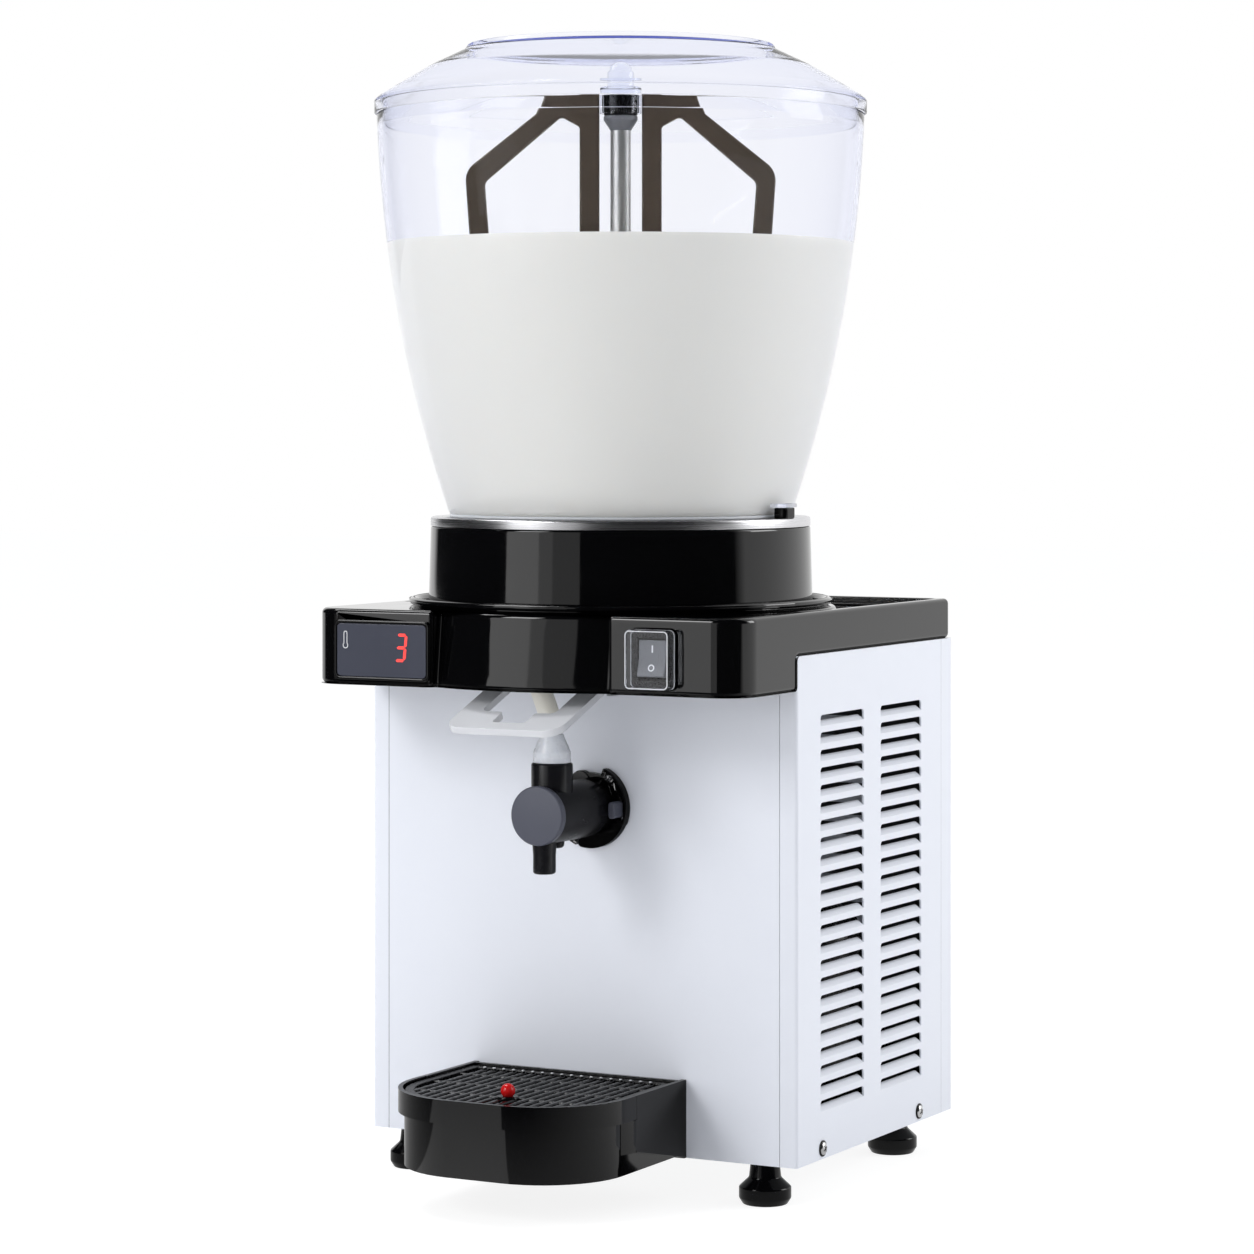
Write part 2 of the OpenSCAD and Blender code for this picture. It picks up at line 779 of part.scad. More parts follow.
// Route of the evaporator tube: up from the deck, round the well, and down again behind the turns
function coil_point(a, r, z) = [r * cos(a), r * sin(a), z];
coil_turn_angle = 360 * coil_turns - (coil_start - return_angle);
coil_bend = 6;
coil_steps = coil_sides * coil_turns;
coil_high = coil_low + coil_pitch * coil_turn_angle / 360;
coil_route = concat(
    [coil_point(coil_start, coil_r, tail_low), coil_point(coil_start, coil_r, coil_low - 14),
        coil_point(coil_start + 1, coil_r, coil_low - 5)],
    [for (i = [0:coil_steps])
        let (t = i / coil_steps, a = coil_bend + (coil_turn_angle - 2 * coil_bend) * t)
        coil_point(coil_start + a, coil_r, coil_low + (coil_high - coil_low) * t)],
    [coil_point(return_angle - 1, (coil_r + return_r) / 2, coil_high),
        coil_point(return_angle, return_r, coil_high - 7), coil_point(return_angle, return_r, tail_low)]);

// Evaporator tube wound on the steel well
module evaporator_coil() {
    color("peru") swept_rod(coil_route, coil_tube_r, 8, [0, 1, 0]);
}

// Foam between the coil and the shell, slotted for the return tail and the outlet
module tank_insulation() {
    color("khaki") difference() {
        ring(foam_out, foam_in, deck_top, shell_top - over);
        rotate([0, 0, return_angle]) block([foam_in - over, -tail_slot, deck_top - over],
            [foam_out + over, tail_slot / 2, shell_top]);
        block([-nipple_r - over, -foam_out - over, deck_top - over],
            [nipple_r + over, -foam_in + 2 * nipple_r, nipple_z + nipple_r + over]);
    }
}

// Soft ring below the bowl's foot
module bowl_gasket() {
    color("lightgray") ring(bowl_foot_r - seat, well_r + gasket_step, flange_top, bowl_low);
}

// Two rubber posts on the flange that locate the bowl's lugs
module locating_posts() {
    radial = flange_r - post_in - seat;
    color([0.1, 0.1, 0.12]) for (s = [-1, 1])
        translate([s * (post_in + radial / 2), 0, flange_top]) linear_extrude(lug_low - flange_top - seat)
            round_square(radial, post_w, lug_corner);
}

// Fixed steel column round the drive shaft, with its seat on the well's floor
module mixer_column() {
    color("silver") difference() {
        union() {
            bar_z(column_d / 2, gear_boss_top, column_top);
            bar_z(column_seat_r, well_low, well_low + column_seat_t);
        }
        bar_z(column_bore_r, gear_boss_top - over, column_top + over);
    }
}

// Grey cone on the column's top
module column_cone() {
    color("dimgray") difference() {
        rotate_extrude() polygon([[0, column_top], [column_d / 2, column_top],
            [coupling_d / 2, cone_top - cone_edge], [coupling_d / 2, cone_top], [0, cone_top]]);
        bar_z(shaft_d / 2 + fit, column_top - over, cone_top + over);
    }
}

// Plain bushes at both ends of the column
module column_bushes() {
    color("peru") for (z = [gear_boss_top + bush_in, column_top - bush_in - bush_len])
        ring(column_bore_r - run, shaft_d / 2 + run, z, z + bush_len);
}

// Gearmotor that hangs below the deck plate and turns the drive shaft
module mixer_gearmotor() {
    color("slategray") difference() {
        union() {
            block([-gear_half_w, -gear_half_d, gear_low],
                [gear_half_w, motor_can_y + gear_half_d, deck_low]);
            bar_z(gear_boss_r, deck_low - over, gear_boss_top);
            translate([0, motor_can_y, 0]) bar_z(motor_can_r, gear_low - motor_can_h, gear_low + over);
        }
        bar_z(shaft_d / 2 + run, shaft_low - over, gear_boss_top + over);
    }
}

// Steel drive shaft inside the column
module drive_shaft() {
    color("silver") bar_z(shaft_d / 2, shaft_low, shaft_top);
}

// Black coupling on the drive shaft
module drive_coupling() {
    color([0.08, 0.08, 0.08]) difference() {
        bar_z(coupling_d / 2, coupling_low, coupling_top);
        bar_z(shaft_d / 2 + run, coupling_low - over, shaft_top + run);
    }
}

// Clear hub over the coupling, with a domed top
module paddle_hub() {
    dome_r = hub_d / 2 - 5;
    dome_z = coupling_top + hub_roof + dome_h - dome_r;
    color([0.85, 0.9, 0.95, 0.5]) difference() {
        union() {
            bar_z(hub_d / 2, coupling_low + over, coupling_top + hub_roof);
            bar_z(dome_r, coupling_top + hub_roof - over, dome_z);
            translate([0, 0, dome_z]) sphere(r = dome_r);
        }
        bar_z(coupling_d / 2 + fit, coupling_low - over, coupling_top);
    }
}

// Flat paddle frame: an inner bar, a slanted top bar, an outer bar and a foot bar
module paddle() {
    inner = hub_d / 2 + fit;
    shoulder_z = coupling_top - paddle_slant;
    low_reach = paddle_reach - paddle_lean * (shoulder_z - paddle_low);
    bar = paddle_bar;
    slant_bar = bar * 1.16;
    outer_edge = [[inner, coupling_top], [inner, paddle_low], [low_reach, paddle_low],
        [paddle_reach, shoulder_z], [paddle_top_r, coupling_top]];
    window = [[inner + bar, coupling_top - slant_bar - bar / 2], [inner + bar, paddle_low + bar],
        [low_reach - bar, paddle_low + bar], [paddle_reach - bar, shoulder_z - slant_bar / 2],
        [paddle_top_r, coupling_top - slant_bar]];
    plate_y(-paddle_t / 2, paddle_t / 2) difference() {
        polygon(rounded(outer_edge, [2, 4, 12, 14, 3]));
        polygon(rounded(window, [3, 5, 6, 6, 4]));
    }
}
module right_paddle() {
    color([0.38, 0.34, 0.28]) rotate([0, 0, mixer_angle]) paddle();
}
module left_paddle() {
    color([0.38, 0.34, 0.28]) rotate([0, 0, mixer_angle]) mirror([1, 0, 0]) paddle();
}

// Centre of the curve of the bowl's side, and the outer radius of the bowl at a height
chord = [bowl_top_r - bowl_foot_r, bowl_h];
centre_angle = atan2(chord[1], chord[0]) + acos(norm(chord) / 2 / bowl_curve_r);
curve_centre = [bowl_foot_r, bowl_low] + bowl_curve_r * [cos(centre_angle), sin(centre_angle)];
function bowl_r(z) = curve_centre[0] + sqrt(pow(bowl_curve_r, 2) - pow(z - curve_centre[1], 2));

// Clear bowl without a floor, with a lug over each locating post
module bowl() {
    steps = 14;
    levels = [for (i = [0:steps]) bowl_low + bowl_h * i / steps];
    color([0.8, 0.88, 0.95, 0.35]) union() {
        rotate_extrude() polygon(concat(
            [for (z = levels) [bowl_r(z), z]],
            [for (i = [steps:-1:0]) [bowl_r(levels[i]) - bowl_wall, levels[i]]]));
        for (s = [-1, 1])
            translate([s * (bowl_foot_r + flange_r) / 2, 0, lug_low]) linear_extrude(lug_t)
                round_square(flange_r - bowl_foot_r + over, lug_w, lug_corner);
    }
}

// Clear lid with a rim on the bowl, a locating lip, a cone and a raised cap
module lid() {
    rim_r = bowl_top_r + lid_overhang;
    shoulder_r = rim_r - lid_edge;
    cap_r = rim_r - lid_cap_in;
    lip_r = bowl_top_r - bowl_wall - 2 * fit;
    lip_z = bowl_top - 8;
    shoulder_z = bowl_top + lid_rim_h + 6;
    cap_z = bowl_top + lid_rim_h + lid_rise;
    cap_ring = 3;
    crown = 1.5;
    color([0.8, 0.88, 0.95, 0.35]) rotate_extrude() polygon([
        [lip_r, bowl_top], [rim_r, bowl_top], [rim_r, bowl_top + lid_rim_h], [shoulder_r, shoulder_z],
        [(shoulder_r + cap_r) / 2, (shoulder_z + cap_z) / 2 + crown], [cap_r + crown, cap_z],
        [cap_r, cap_z], [cap_r, cap_z + cap_ring], [cap_r - lid_wall, cap_z + cap_ring],
        [cap_r - lid_wall, cap_z], [0, cap_z], [0, cap_z - lid_wall],
        [cap_r, cap_z - lid_wall], [shoulder_r - crown, shoulder_z - lid_wall],
        [lip_r - lid_wall, bowl_top + lid_rim_h - lid_wall], [lip_r - lid_wall, lip_z], [lip_r, lip_z]]);
}

// Hermetic compressor with a base plate and two pipe stubs
module compressor() {
    plate_z = compressor_low + 3;
    can_top = compressor_low + compressor_h;
    color([0.12, 0.12, 0.13]) translate([compressor_x, compressor_y, 0]) {
        block([-compressor_r, -compressor_r, compressor_low], [compressor_r, compressor_r, plate_z]);
        rotate_extrude() polygon(concat(
            [[0, plate_z], [compressor_r * 0.8, plate_z], [compressor_r, plate_z + compressor_r / 4]],
            [for (a = [0:15:90]) [compressor_r * cos(a), can_top + (compressor_top - can_top) * sin(a)]]));
        bar_z(suction_r + 1, can_top, compressor_top + stub_len);
        translate([0, 0, discharge_z]) bar_x(pipe_r + 1, -compressor_r - stub_len, 0);
    }
}

// Four rubber mounts between the compressor and the base tray
module compressor_mounts() {
    d = compressor_r - mount_in;
    color([0.1, 0.1, 0.1]) for (x = [-d, d], y = [-d, d])
        translate([compressor_x + x, compressor_y + y, 0]) bar_z(mount_r, base_top, compressor_low);
}

// Finned condenser with a pipe stub near the top and one near the bottom
module condenser() {
    fin_t = 1.2;
    core_t = 6;
    far_y = condenser_y + condenser_w;
    color("gray") {
        translate([0, 0, base_top]) linear_extrude(condenser_h) {
            for (i = [0:condenser_fins])
                translate([condenser_x, condenser_y + i * (condenser_w - fin_t) / condenser_fins])
                    square([condenser_t, fin_t]);
            translate([condenser_mid - core_t / 2, condenser_y]) square([core_t, condenser_w]);
        }
        for (z = [liquid_z, hot_z])
            translate([condenser_mid, 0, z]) bar_y(pipe_r, far_y - core_t, far_y + stub_len);
    }
}

// Shroud on the condenser with a duct round the fan and three arms for the fan motor
module fan_shroud() {
    duct_r = fan_r + 3;
    duct_t = 3;
    hub_r = 14;
    arm_w = 8;
    color("darkgray") difference() {
        union() {
            block([shroud_x, condenser_y, base_top], [shroud_x + shroud_t, condenser_y + condenser_w,
                base_top + condenser_h]);
            translate([0, fan_y, fan_z]) {
                difference() {
                    bar_x(duct_r + duct_t, shroud_x, arm_x + arm_t);
                    bar_x(duct_r, shroud_x - over, arm_x + arm_t + over);
                }
                bar_x(hub_r, arm_x, arm_x + arm_t);
                for (a = [90, 210, 330])
                    rotate([a, 0, 0])
                        block([arm_x, -arm_w / 2, hub_r / 2], [arm_x + arm_t, arm_w / 2, duct_r + over]);
            }
        }
        translate([0, fan_y, fan_z]) {
            bar_x(duct_r, shroud_x - over, shroud_x + shroud_t + over);
            bar_x(fan_shaft_r + fit, arm_x - over, arm_x + arm_t + over);
        }
    }
}

// Fan motor on the shroud's arms
module fan_motor() {
    x0 = arm_x + arm_t;
    color("dimgray") translate([0, fan_y, fan_z]) difference() {
        bar_x(fan_motor_r, x0, x0 + fan_motor_len);
        bar_x(fan_shaft_r + run, x0 - over, x0 + fan_shaft_in + over);
    }
}

// Fan with pitched blades on its shaft
module fan_blades() {
    x0 = shroud_x + shroud_t + 1;
    x1 = arm_x - 2;
    hub_r = 15;
    blade_t = 2;
    blade_w = 22;
    color("lightgray") translate([0, fan_y, fan_z]) {
        bar_x(hub_r, x0, x1);
        bar_x(fan_shaft_r, x1 - over, arm_x + arm_t + fan_shaft_in);
        for (i = [0:fan_count - 1])
            rotate([360 * i / fan_count, 0, 0]) translate([(x0 + x1) / 2, 0, 0]) rotate([0, 0, 35])
                block([-blade_t / 2, -blade_w / 2, hub_r / 2], [blade_t / 2, blade_w / 2, fan_r - 2]);
    }
}

// Copper filter drier in the liquid line
module filter_drier() {
    color("peru") translate([drier_at[0], drier_at[1], 0]) rotate_extrude() polygon([[0, drier_z[0]],
        [pipe_r + 1, drier_z[0]], [drier_r, drier_z[0] + 10], [drier_r, drier_z[1] - 10],
        [pipe_r + 1, drier_z[1]], [0, drier_z[1]]]);
}

// Routes of the three refrigerant lines, end to end between the parts that they join
condenser_mid = condenser_x + condenser_t / 2;
condenser_end = condenser_y + condenser_w + stub_len + seat;
line_in = 20;
liquid_z = base_top + line_in;
hot_z = base_top + condenser_h - line_in;
inlet_tail = coil_point(coil_start, coil_r, tail_low - seat);
return_tail = coil_point(return_angle, return_r, tail_low - seat);
discharge_line = [[compressor_x - compressor_r - stub_len - seat, compressor_y, discharge_z],
    [compressor_x - compressor_r - 2 * stub_len - 8, compressor_y, discharge_z], [-40, compressor_y, hot_z],
    [condenser_mid + 20, compressor_y + 44, hot_z], [condenser_mid, compressor_y + 44, hot_z],
    [condenser_mid, condenser_end, hot_z]];
liquid_line = [[condenser_mid, condenser_end, liquid_z], [condenser_mid, drier_at[1], liquid_z],
    [drier_at[0], drier_at[1], liquid_z - 6], [drier_at[0], drier_at[1], drier_z[0] - seat]];
feed_line = [[drier_at[0], drier_at[1], drier_z[1] + seat], [drier_at[0], drier_at[1], tail_low - 50],
    inlet_tail + [0, 20, -30], inlet_tail - [0, 0, 18], inlet_tail];
suction_line = [return_tail, return_tail - [0, 0, 30], [compressor_x, compressor_y, tail_low - 60],
    [compressor_x, compressor_y, compressor_top + stub_len + seat]];

// Copper refrigerant lines
module refrigerant_pipes() {
    color("peru") {
        swept_rod(bent(discharge_line), pipe_r, 8, [0, 0, 1]);
        swept_rod(bent(liquid_line), pipe_r, 8, [1, 0, 0.2]);
        swept_rod(bent(feed_line), pipe_r, 8, [1, 0, 0]);
        swept_rod(bent(suction_line), suction_r, 8, [1, 0, 0]);
    }
}

// Thermostat behind the display
module thermostat_body() {
    front = trim_front - bezel_t + window_t + 0.4;
    color("dimgray") translate([display_x, 0, box_z]) plate_y(front, front + thermostat_len)
        round_square(thermostat_w, thermostat_h, cutout_r);
}

// Frame of the display on the left box
module display_bezel() {
    color([0.08, 0.08, 0.09]) translate([display_x, 0, box_z]) plate_y(trim_front - bezel_t, trim_front)
        difference() {
            round_square(display_w, display_h, 4);
            round_square(display_w - 2 * bezel_lip, display_h - 2 * bezel_lip, 3);
        }
}

// Tinted window of the display
module display_window() {
    front = trim_front - bezel_t + 0.4;
    color([0.1, 0.12, 0.16]) translate([display_x, 0, box_z]) plate_y(front, front + window_t)
        round_square(display_w - 2 * bezel_lip - 0.2, display_h - 2 * bezel_lip - 0.2, 3);
}

// Body of the mains switch, with a well for the rocker
module switch_housing() {
    front = trim_front - switch_flange_t;
    color([0.1, 0.1, 0.1]) translate([switch_x, 0, box_z]) difference() {
        union() {
            plate_y(front, trim_front) round_square(switch_w, switch_h, 3);
            plate_y(trim_front - over / 2, trim_front + switch_body_len)
                round_square(switch_body_w, switch_body_h, cutout_r);
        }
        plate_y(front - over, trim_front + rocker_well)
            round_square(switch_body_w - 2 * rocker_in, switch_body_h - 2 * rocker_in, cutout_r);
    }
}

// Rocker of the mains switch, at rest with its upper end pressed in
rocker_pivot_y = trim_front + 2;
module rocker() {
    w = switch_body_w - 2 * rocker_in - 2 * fit;
    h = switch_body_h - 2 * rocker_in - 3;
    back = 4;
    edge = 2.6;
    end = 5.6;
    hollow = 4.2;
    color([0.3, 0.3, 0.32]) translate([switch_x, rocker_pivot_y, box_z]) rotate([-rocker_tilt, 0, 0])
        plate_x(-w / 2, w / 2) polygon([[back, -back], [back, back], [-edge, h / 2], [-end, h / 2],
            [-hollow, 0], [-end, -h / 2], [-edge, -h / 2]]);
}

// Clear splash cover over the switch
module switch_cover() {
    front = trim_front - switch_flange_t;
    color([0.85, 0.88, 0.92, 0.4]) translate([switch_x, 0, box_z]) difference() {
        plate_y(front - cover_depth, front) round_square(switch_w, switch_h, 3.5);
        plate_y(front - cover_depth + cover_wall, front + over)
            round_square(switch_w - 2 * cover_wall, switch_h - 2 * cover_wall, 2.5);
    }
}

// Flange of the pump on the front panel: a round base with two screwed wings
module pump_flange() {
    reach = 2 * pump_flange_r;
    color([0.1, 0.1, 0.11]) translate([pump_x, 0, pump_z]) difference() {
        union() {
            bar_y(flange_base_r, panel_y - pump_flange_t, panel_y);
            for (a = flange_screw_angles)
                rotate([0, -a, 0]) intersection() {
                    bar_y(pump_flange_r, panel_y - pump_flange_t, panel_y);
                    plate_y(panel_y - pump_flange_t - over, panel_y + over)
                        polygon([[0, 0], reach * [cos(wing_back), -sin(wing_back)], [reach, 0],
                            reach * [cos(wing_ahead), sin(wing_ahead)]]);
                }
        }
        bar_y(shaft_hole_r, panel_y - pump_flange_t - over, panel_y + over);
        for (a = flange_screw_angles)
            rotate([0, -a, 0]) translate([flange_screw_r, 0, 0]) {
                bar_y(flange_screw_head + 2 * fit, panel_y - pump_flange_t - over, flange_seat_y);
                bar_y(flange_shank_r + fit, panel_y - pump_flange_t - over, panel_y + over);
            }
    }
}

// Pump body with an inlet socket on top and a spout below
module pump_housing() {
    rear = panel_y - pump_flange_t;
    front = pump_front + pump_cap_t;
    color([0.14, 0.14, 0.15]) translate([pump_x, 0, pump_z]) difference() {
        union() {
            bar_y(pump_r, front, rear);
            translate([0, panel_y - inlet_y, 0]) bar_z(inlet_r, 0, inlet_h);
            translate([0, panel_y - spout_y, 0]) bar_z(spout_r, -spout_len, 0);
        }
        bar_y(pump_r + run, pump_front - over, front);
        bar_y(chamber_r, front - over, panel_y - inlet_y + chamber_back);
        bar_y(pump_shaft_r + run, front, rear + over);
        translate([0, panel_y - inlet_y, 0]) {
            bar_z(inlet_r - 2 * socket_wall, 0, inlet_h + over);
            bar_z(inlet_r - socket_wall, inlet_h - socket_h, inlet_h + over);
        }
        translate([0, panel_y - spout_y, 0]) bar_z(spout_bore_r, -spout_len - over, 0);
    }
}

// Round cap on the pump's front, with a spigot in the chamber
module pump_front_cap() {
    color([0.3, 0.3, 0.33]) translate([pump_x, 0, pump_z]) {
        bar_y(pump_r, pump_front, pump_front + pump_cap_t);
        bar_y(chamber_r - run, pump_front + pump_cap_t - over, pump_front + pump_cap_t + 1.5);
    }
}

// Pump motor behind the front panel
module pump_motor() {
    rear = panel_y + sheet;
    color("slategray") translate([pump_x, 0, pump_z]) difference() {
        bar_y(pump_motor_r, rear, rear + pump_motor_len);
        bar_y(pump_shaft_r + run, rear - over, rear + pump_shaft_in + over);
    }
}

// Impeller in the pump's chamber on its shaft
module pump_impeller() {
    y0 = pump_front + pump_cap_t + 3;
    vane_t = 1.6;
    y1 = panel_y - inlet_y + chamber_back - 2;
    color("lightgray") translate([pump_x, 0, pump_z]) {
        bar_y(pump_shaft_r, y0, panel_y + sheet + pump_shaft_in);
        bar_y(2 * pump_shaft_r, y0, y1);
        for (a = [0:60:300])
            rotate([0, a, 0])
                block([pump_shaft_r + over, y0, -vane_t / 2], [chamber_r - 1.5, y1, vane_t / 2]);
    }
}

// Translucent funnel in the inlet socket, with a barb for the hose
module inlet_funnel() {
    low = pump_z + inlet_h;
    wall = 1.8;
    barb_in = barb_r - wall + fit;
    spigot_r = inlet_r - socket_wall - run;
    color([0.8, 0.82, 0.85, 0.7]) translate([pump_x, panel_y - inlet_y, 0]) rotate_extrude() polygon([
        [spigot_r - wall, low - socket_h + over], [spigot_r, low - socket_h + over], [spigot_r, low],
        [inlet_r, low], [inlet_r, low + 7], [hose_r + seat, funnel_top], [barb_r, funnel_top],
        [barb_r, funnel_top + barb_len], [barb_in, funnel_top + barb_len], [barb_in, funnel_top - 2],
        [spigot_r - wall, low + 6]]);
}

// Route of the drink hose from the outlet elbow to the funnel
hose_top = deck_low - 2;
hose_end = [pump_x, panel_y - inlet_y, funnel_top + seat];
hose_route = bent([[0, nipple_y, hose_top], [0, nipple_y, hose_top - 12],
    [2 * pump_x / 3, (nipple_y + 2 * hose_end[1]) / 3, (hose_top + 2 * hose_end[2]) / 3 - 1],
    hose_end + [0, 0, 9], hose_end]);

// Beige hose with its bore
module drink_hose() {
    sides = hose_sides;
    n = len(hose_route);
    wall = sides * n;
    color("wheat") polyhedron(
        [for (r = [hose_r, hose_bore_r]) each sleeve(hose_route, r, sides, [1, 0, 0])],
        concat(
            [for (i = [0:n - 2], k = [0:sides - 1])
                let (a = i * sides + k, b = i * sides + (k + 1) % sides)
                each [[a, a + sides, b + sides], [a, b + sides, b], [wall + a, wall + b, wall + b + sides],
                    [wall + a, wall + b + sides, wall + a + sides]]],
            [for (k = [0:sides - 1]) let (a = k, b = (k + 1) % sides, e = (n - 1) * sides)
                each [[a, b, wall + b], [a, wall + b, wall + a],
                    [e + a, wall + e + b, e + b], [e + a, wall + e + a, wall + e + b]]]));
}

// Outlet elbow from the well to the hose, with a barb below the deck plate
module outlet_elbow() {
    barb_top = hose_top + seat;
    color("whitesmoke") translate([0, nipple_y, 0]) difference() {
        union() {
            translate([0, 0, nipple_z]) {
                bar_y(nipple_r, 0, -well_r + 2 - nipple_y);
                sphere(r = nipple_r);
            }
            bar_z(nipple_r, barb_top, nipple_z);
            bar_z(barb_r, hose_top - barb_len, barb_top + over);
        }
        bar_z(nipple_bore_r, hose_top - barb_len - over, nipple_z);
        translate([0, 0, nipple_z]) bar_y(nipple_bore_r, 0, -well_r + 2 - nipple_y + over);
    }
}

// Bracket below the deck plate with an ear on each side of the lever
module lever_bracket() {
    x = lever_out + fit;
    ear = 7;
    color("silver") translate([lever_x, lever_y, 0]) difference() {
        union() {
            block([-x - ear_t, -ear, deck_low - chassis_t], [x + ear_t, ear, deck_low]);
            for (s = [-1, 1])
                block([s * (x + ear_t / 2) - ear_t / 2, -ear, lever_z - ear],
                    [s * (x + ear_t / 2) + ear_t / 2, ear, deck_low]);
        }
        translate([0, 0, lever_z]) bar_x(lever_pin_r + run, -x - ear_t - over, x + ear_t + over);
    }
}

// Pin through the bracket's ears and the lever's legs
module lever_pin() {
    x = lever_out + fit + ear_t + 1;
    color("silver") translate([lever_x, lever_y, lever_z]) bar_x(lever_pin_r, -x, x);
}

// White lever: a thumb plate with a slot for the hose and two legs to the pin
module tap_lever() {
    tab = lever_len - 25.6;
    slot = lever_len - 10;
    slot_left = -11;
    slot_right = 13;
    eye_r = lever_pin_r + 2.8;
    leg_end = lever_pin_r + 1;
    plan = [[-lever_out, -lever_len], [lever_out, -lever_len], [lever_out, -leg_end], [lever_in, -leg_end],
        [lever_in, -tab], [slot_right, -tab], [slot_right, -slot], [slot_left, -slot], [slot_left, -tab],
        [-lever_in, -tab], [-lever_in, -leg_end], [-lever_out, -leg_end]];
    color("white") translate([lever_x, lever_y, lever_z]) difference() {
        union() {
            rotate([lever_slope, 0, 0]) translate([0, 0, -lever_t / 2]) linear_extrude(lever_t)
                polygon(rounded(plan, [12, 12, 0, 0, 5, 2, 3, 3, 2, 5, 0, 0]));
            for (s = [-1, 1])
                translate([s * (lever_in + lever_out) / 2, 0, 0])
                    bar_x(eye_r, fit - lever_leg / 2, lever_leg / 2 - fit);
        }
        bar_x(lever_pin_r + run, -lever_out - over, lever_out + over);
    }
}

// Plan of the drip tray, drawn in by an inset
module tray_plan(inset) {
    x = tray_half - inset;
    r = tray_corner - inset;
    polygon(rounded([[-x, tray_front + inset], [x, tray_front + inset], [x, tray_rear - inset],
        [-x, tray_rear - inset]], [r, r, 1, 1], 12));
}

// Black drip tray with a ledge for the grille and a rim band that stops at the bracket's cheeks
module drip_tray() {
    color([0.06, 0.06, 0.06]) difference() {
        union() {
            translate([0, 0, tray_low]) linear_extrude(tray_top - tray_low - 1) tray_plan(rim_step);
            translate([0, 0, rim_low]) linear_extrude(rim_h) tray_plan(0);
        }
        translate([0, 0, tray_low + tray_wall]) linear_extrude(tray_top) tray_plan(ledge_in);
        translate([0, 0, ledge_z]) linear_extrude(tray_top) tray_plan(rim_wall);
        for (s = [0, 1])
            mirror([s, 0, 0]) block([tray_half - rim_step, cheek_end - fit, rim_low - over],
                [tray_half + over, tray_rear + over, tray_top + over]);
    }
}

// Slotted grille that lies on the tray's ledge
module drip_grille() {
    span = 2 * (tray_half - grille_in - grille_frame);
    pitch = span / (grille_bars + 1);
    cross_bars = [0.28, 0.52, 0.76];
    cross_w = 3;
    float_boss_r = 7;
    color([0.07, 0.07, 0.07]) difference() {
        union() {
            translate([0, 0, grille_z]) linear_extrude(grille_t) difference() {
                tray_plan(grille_in);
                tray_plan(grille_in + grille_frame);
            }
            intersection() {
                translate([0, 0, grille_z]) linear_extrude(grille_t)
                    tray_plan(grille_in + grille_frame / 2);
                union() {
                    for (i = [1:grille_bars])
                        translate([-span / 2 + i * pitch - grille_bar / 2, tray_front, 0])
                            block([0, 0, grille_z], [grille_bar, tray_reach, grille_z + grille_t]);
                    for (t = cross_bars)
                        translate([-tray_half, tray_front + t * (tray_rear - tray_front), 0])
                            block([0, 0, grille_z], [tray_w, cross_w, grille_z + grille_t - over]);
                    translate([float_x, panel_y - float_y, 0])
                        bar_z(float_boss_r, grille_z, grille_z + grille_t);
                }
            }
        }
        translate([float_x, panel_y - float_y, 0])
            bar_z(float_stem_r + fit, grille_z - over, grille_z + grille_t + over);
    }
}

// Red float: a ball above the grille on a stem, with a disc in the tray
module float() {
    ball_low = grille_z + grille_t + 0.1;
    ball_z = ball_low + float_d / 2 - 0.4;
    disc_z = tray_low + tray_wall + 2;
    disc_h = 7;
    color("red") translate([float_x, panel_y - float_y, 0]) {
        difference() {
            translate([0, 0, ball_z]) sphere(d = float_d);
            bar_z(float_d, ball_z - float_d, ball_low);
        }
        bar_z(float_stem_r, disc_z, ball_z);
        bar_z(float_disc_r, disc_z, disc_z + disc_h);
    }
}

// Bracket on the front panel: a back plate and two cheeks that stand flush with the tray's rim
module tray_bracket() {
    low = foot_h;
    cheek_rise = 15;
    thick = rim_step - fit;
    color([0.06, 0.06, 0.06]) {
        block([-tray_half, panel_y - bracket_t, low], [tray_half, panel_y, rim_low - fit]);
        for (s = [-1, 1])
            translate([s * (tray_half - thick / 2), 0, 0]) plate_x(-thick / 2, thick / 2)
                polygon([[panel_y, low], [panel_y, tray_top], [cheek_end, tray_top],
                    [cheek_end, low + cheek_rise]]);
    }
}

// Screws of the side panels, and of the pump's flange
module case_screws() {
    color("gray") {
        for (s = [0, 1], y = screw_ys)
            mirror([s, 0, 0]) translate([0, y, screw_z]) {
                bar_x(side_screw_d / 2, half_w, half_w + screw_head_h);
                bar_x(screw_shank_r, half_w - screw_len, half_w + over);
            }
        translate([pump_x, 0, pump_z]) for (a = flange_screw_angles)
            rotate([0, -a, 0]) translate([flange_screw_r, 0, 0]) {
                bar_y(flange_screw_head, panel_y - pump_flange_t, flange_seat_y);
                bar_y(flange_shank_r, flange_seat_y - over, panel_y + sheet / 2);
            }
    }
}

// Gland in the rear panel for the power cord
module power_gland() {
    color([0.08, 0.08, 0.08]) translate([gland_x, 0, gland_z]) difference() {
        union() {
            bar_y(gland_r - 1, rear_y - gland_in, rear_y + over);
            bar_y(gland_r + 3, rear_y, rear_y + gland_flange);
            bar_y(gland_r, rear_y + over, rear_y + gland_len);
            bar_y(gland_r + 2, rear_y - sheet - nut_t, rear_y - sheet);
        }
        bar_y(gland_bore_r, rear_y - gland_in - over, rear_y + gland_len + over);
    }
}

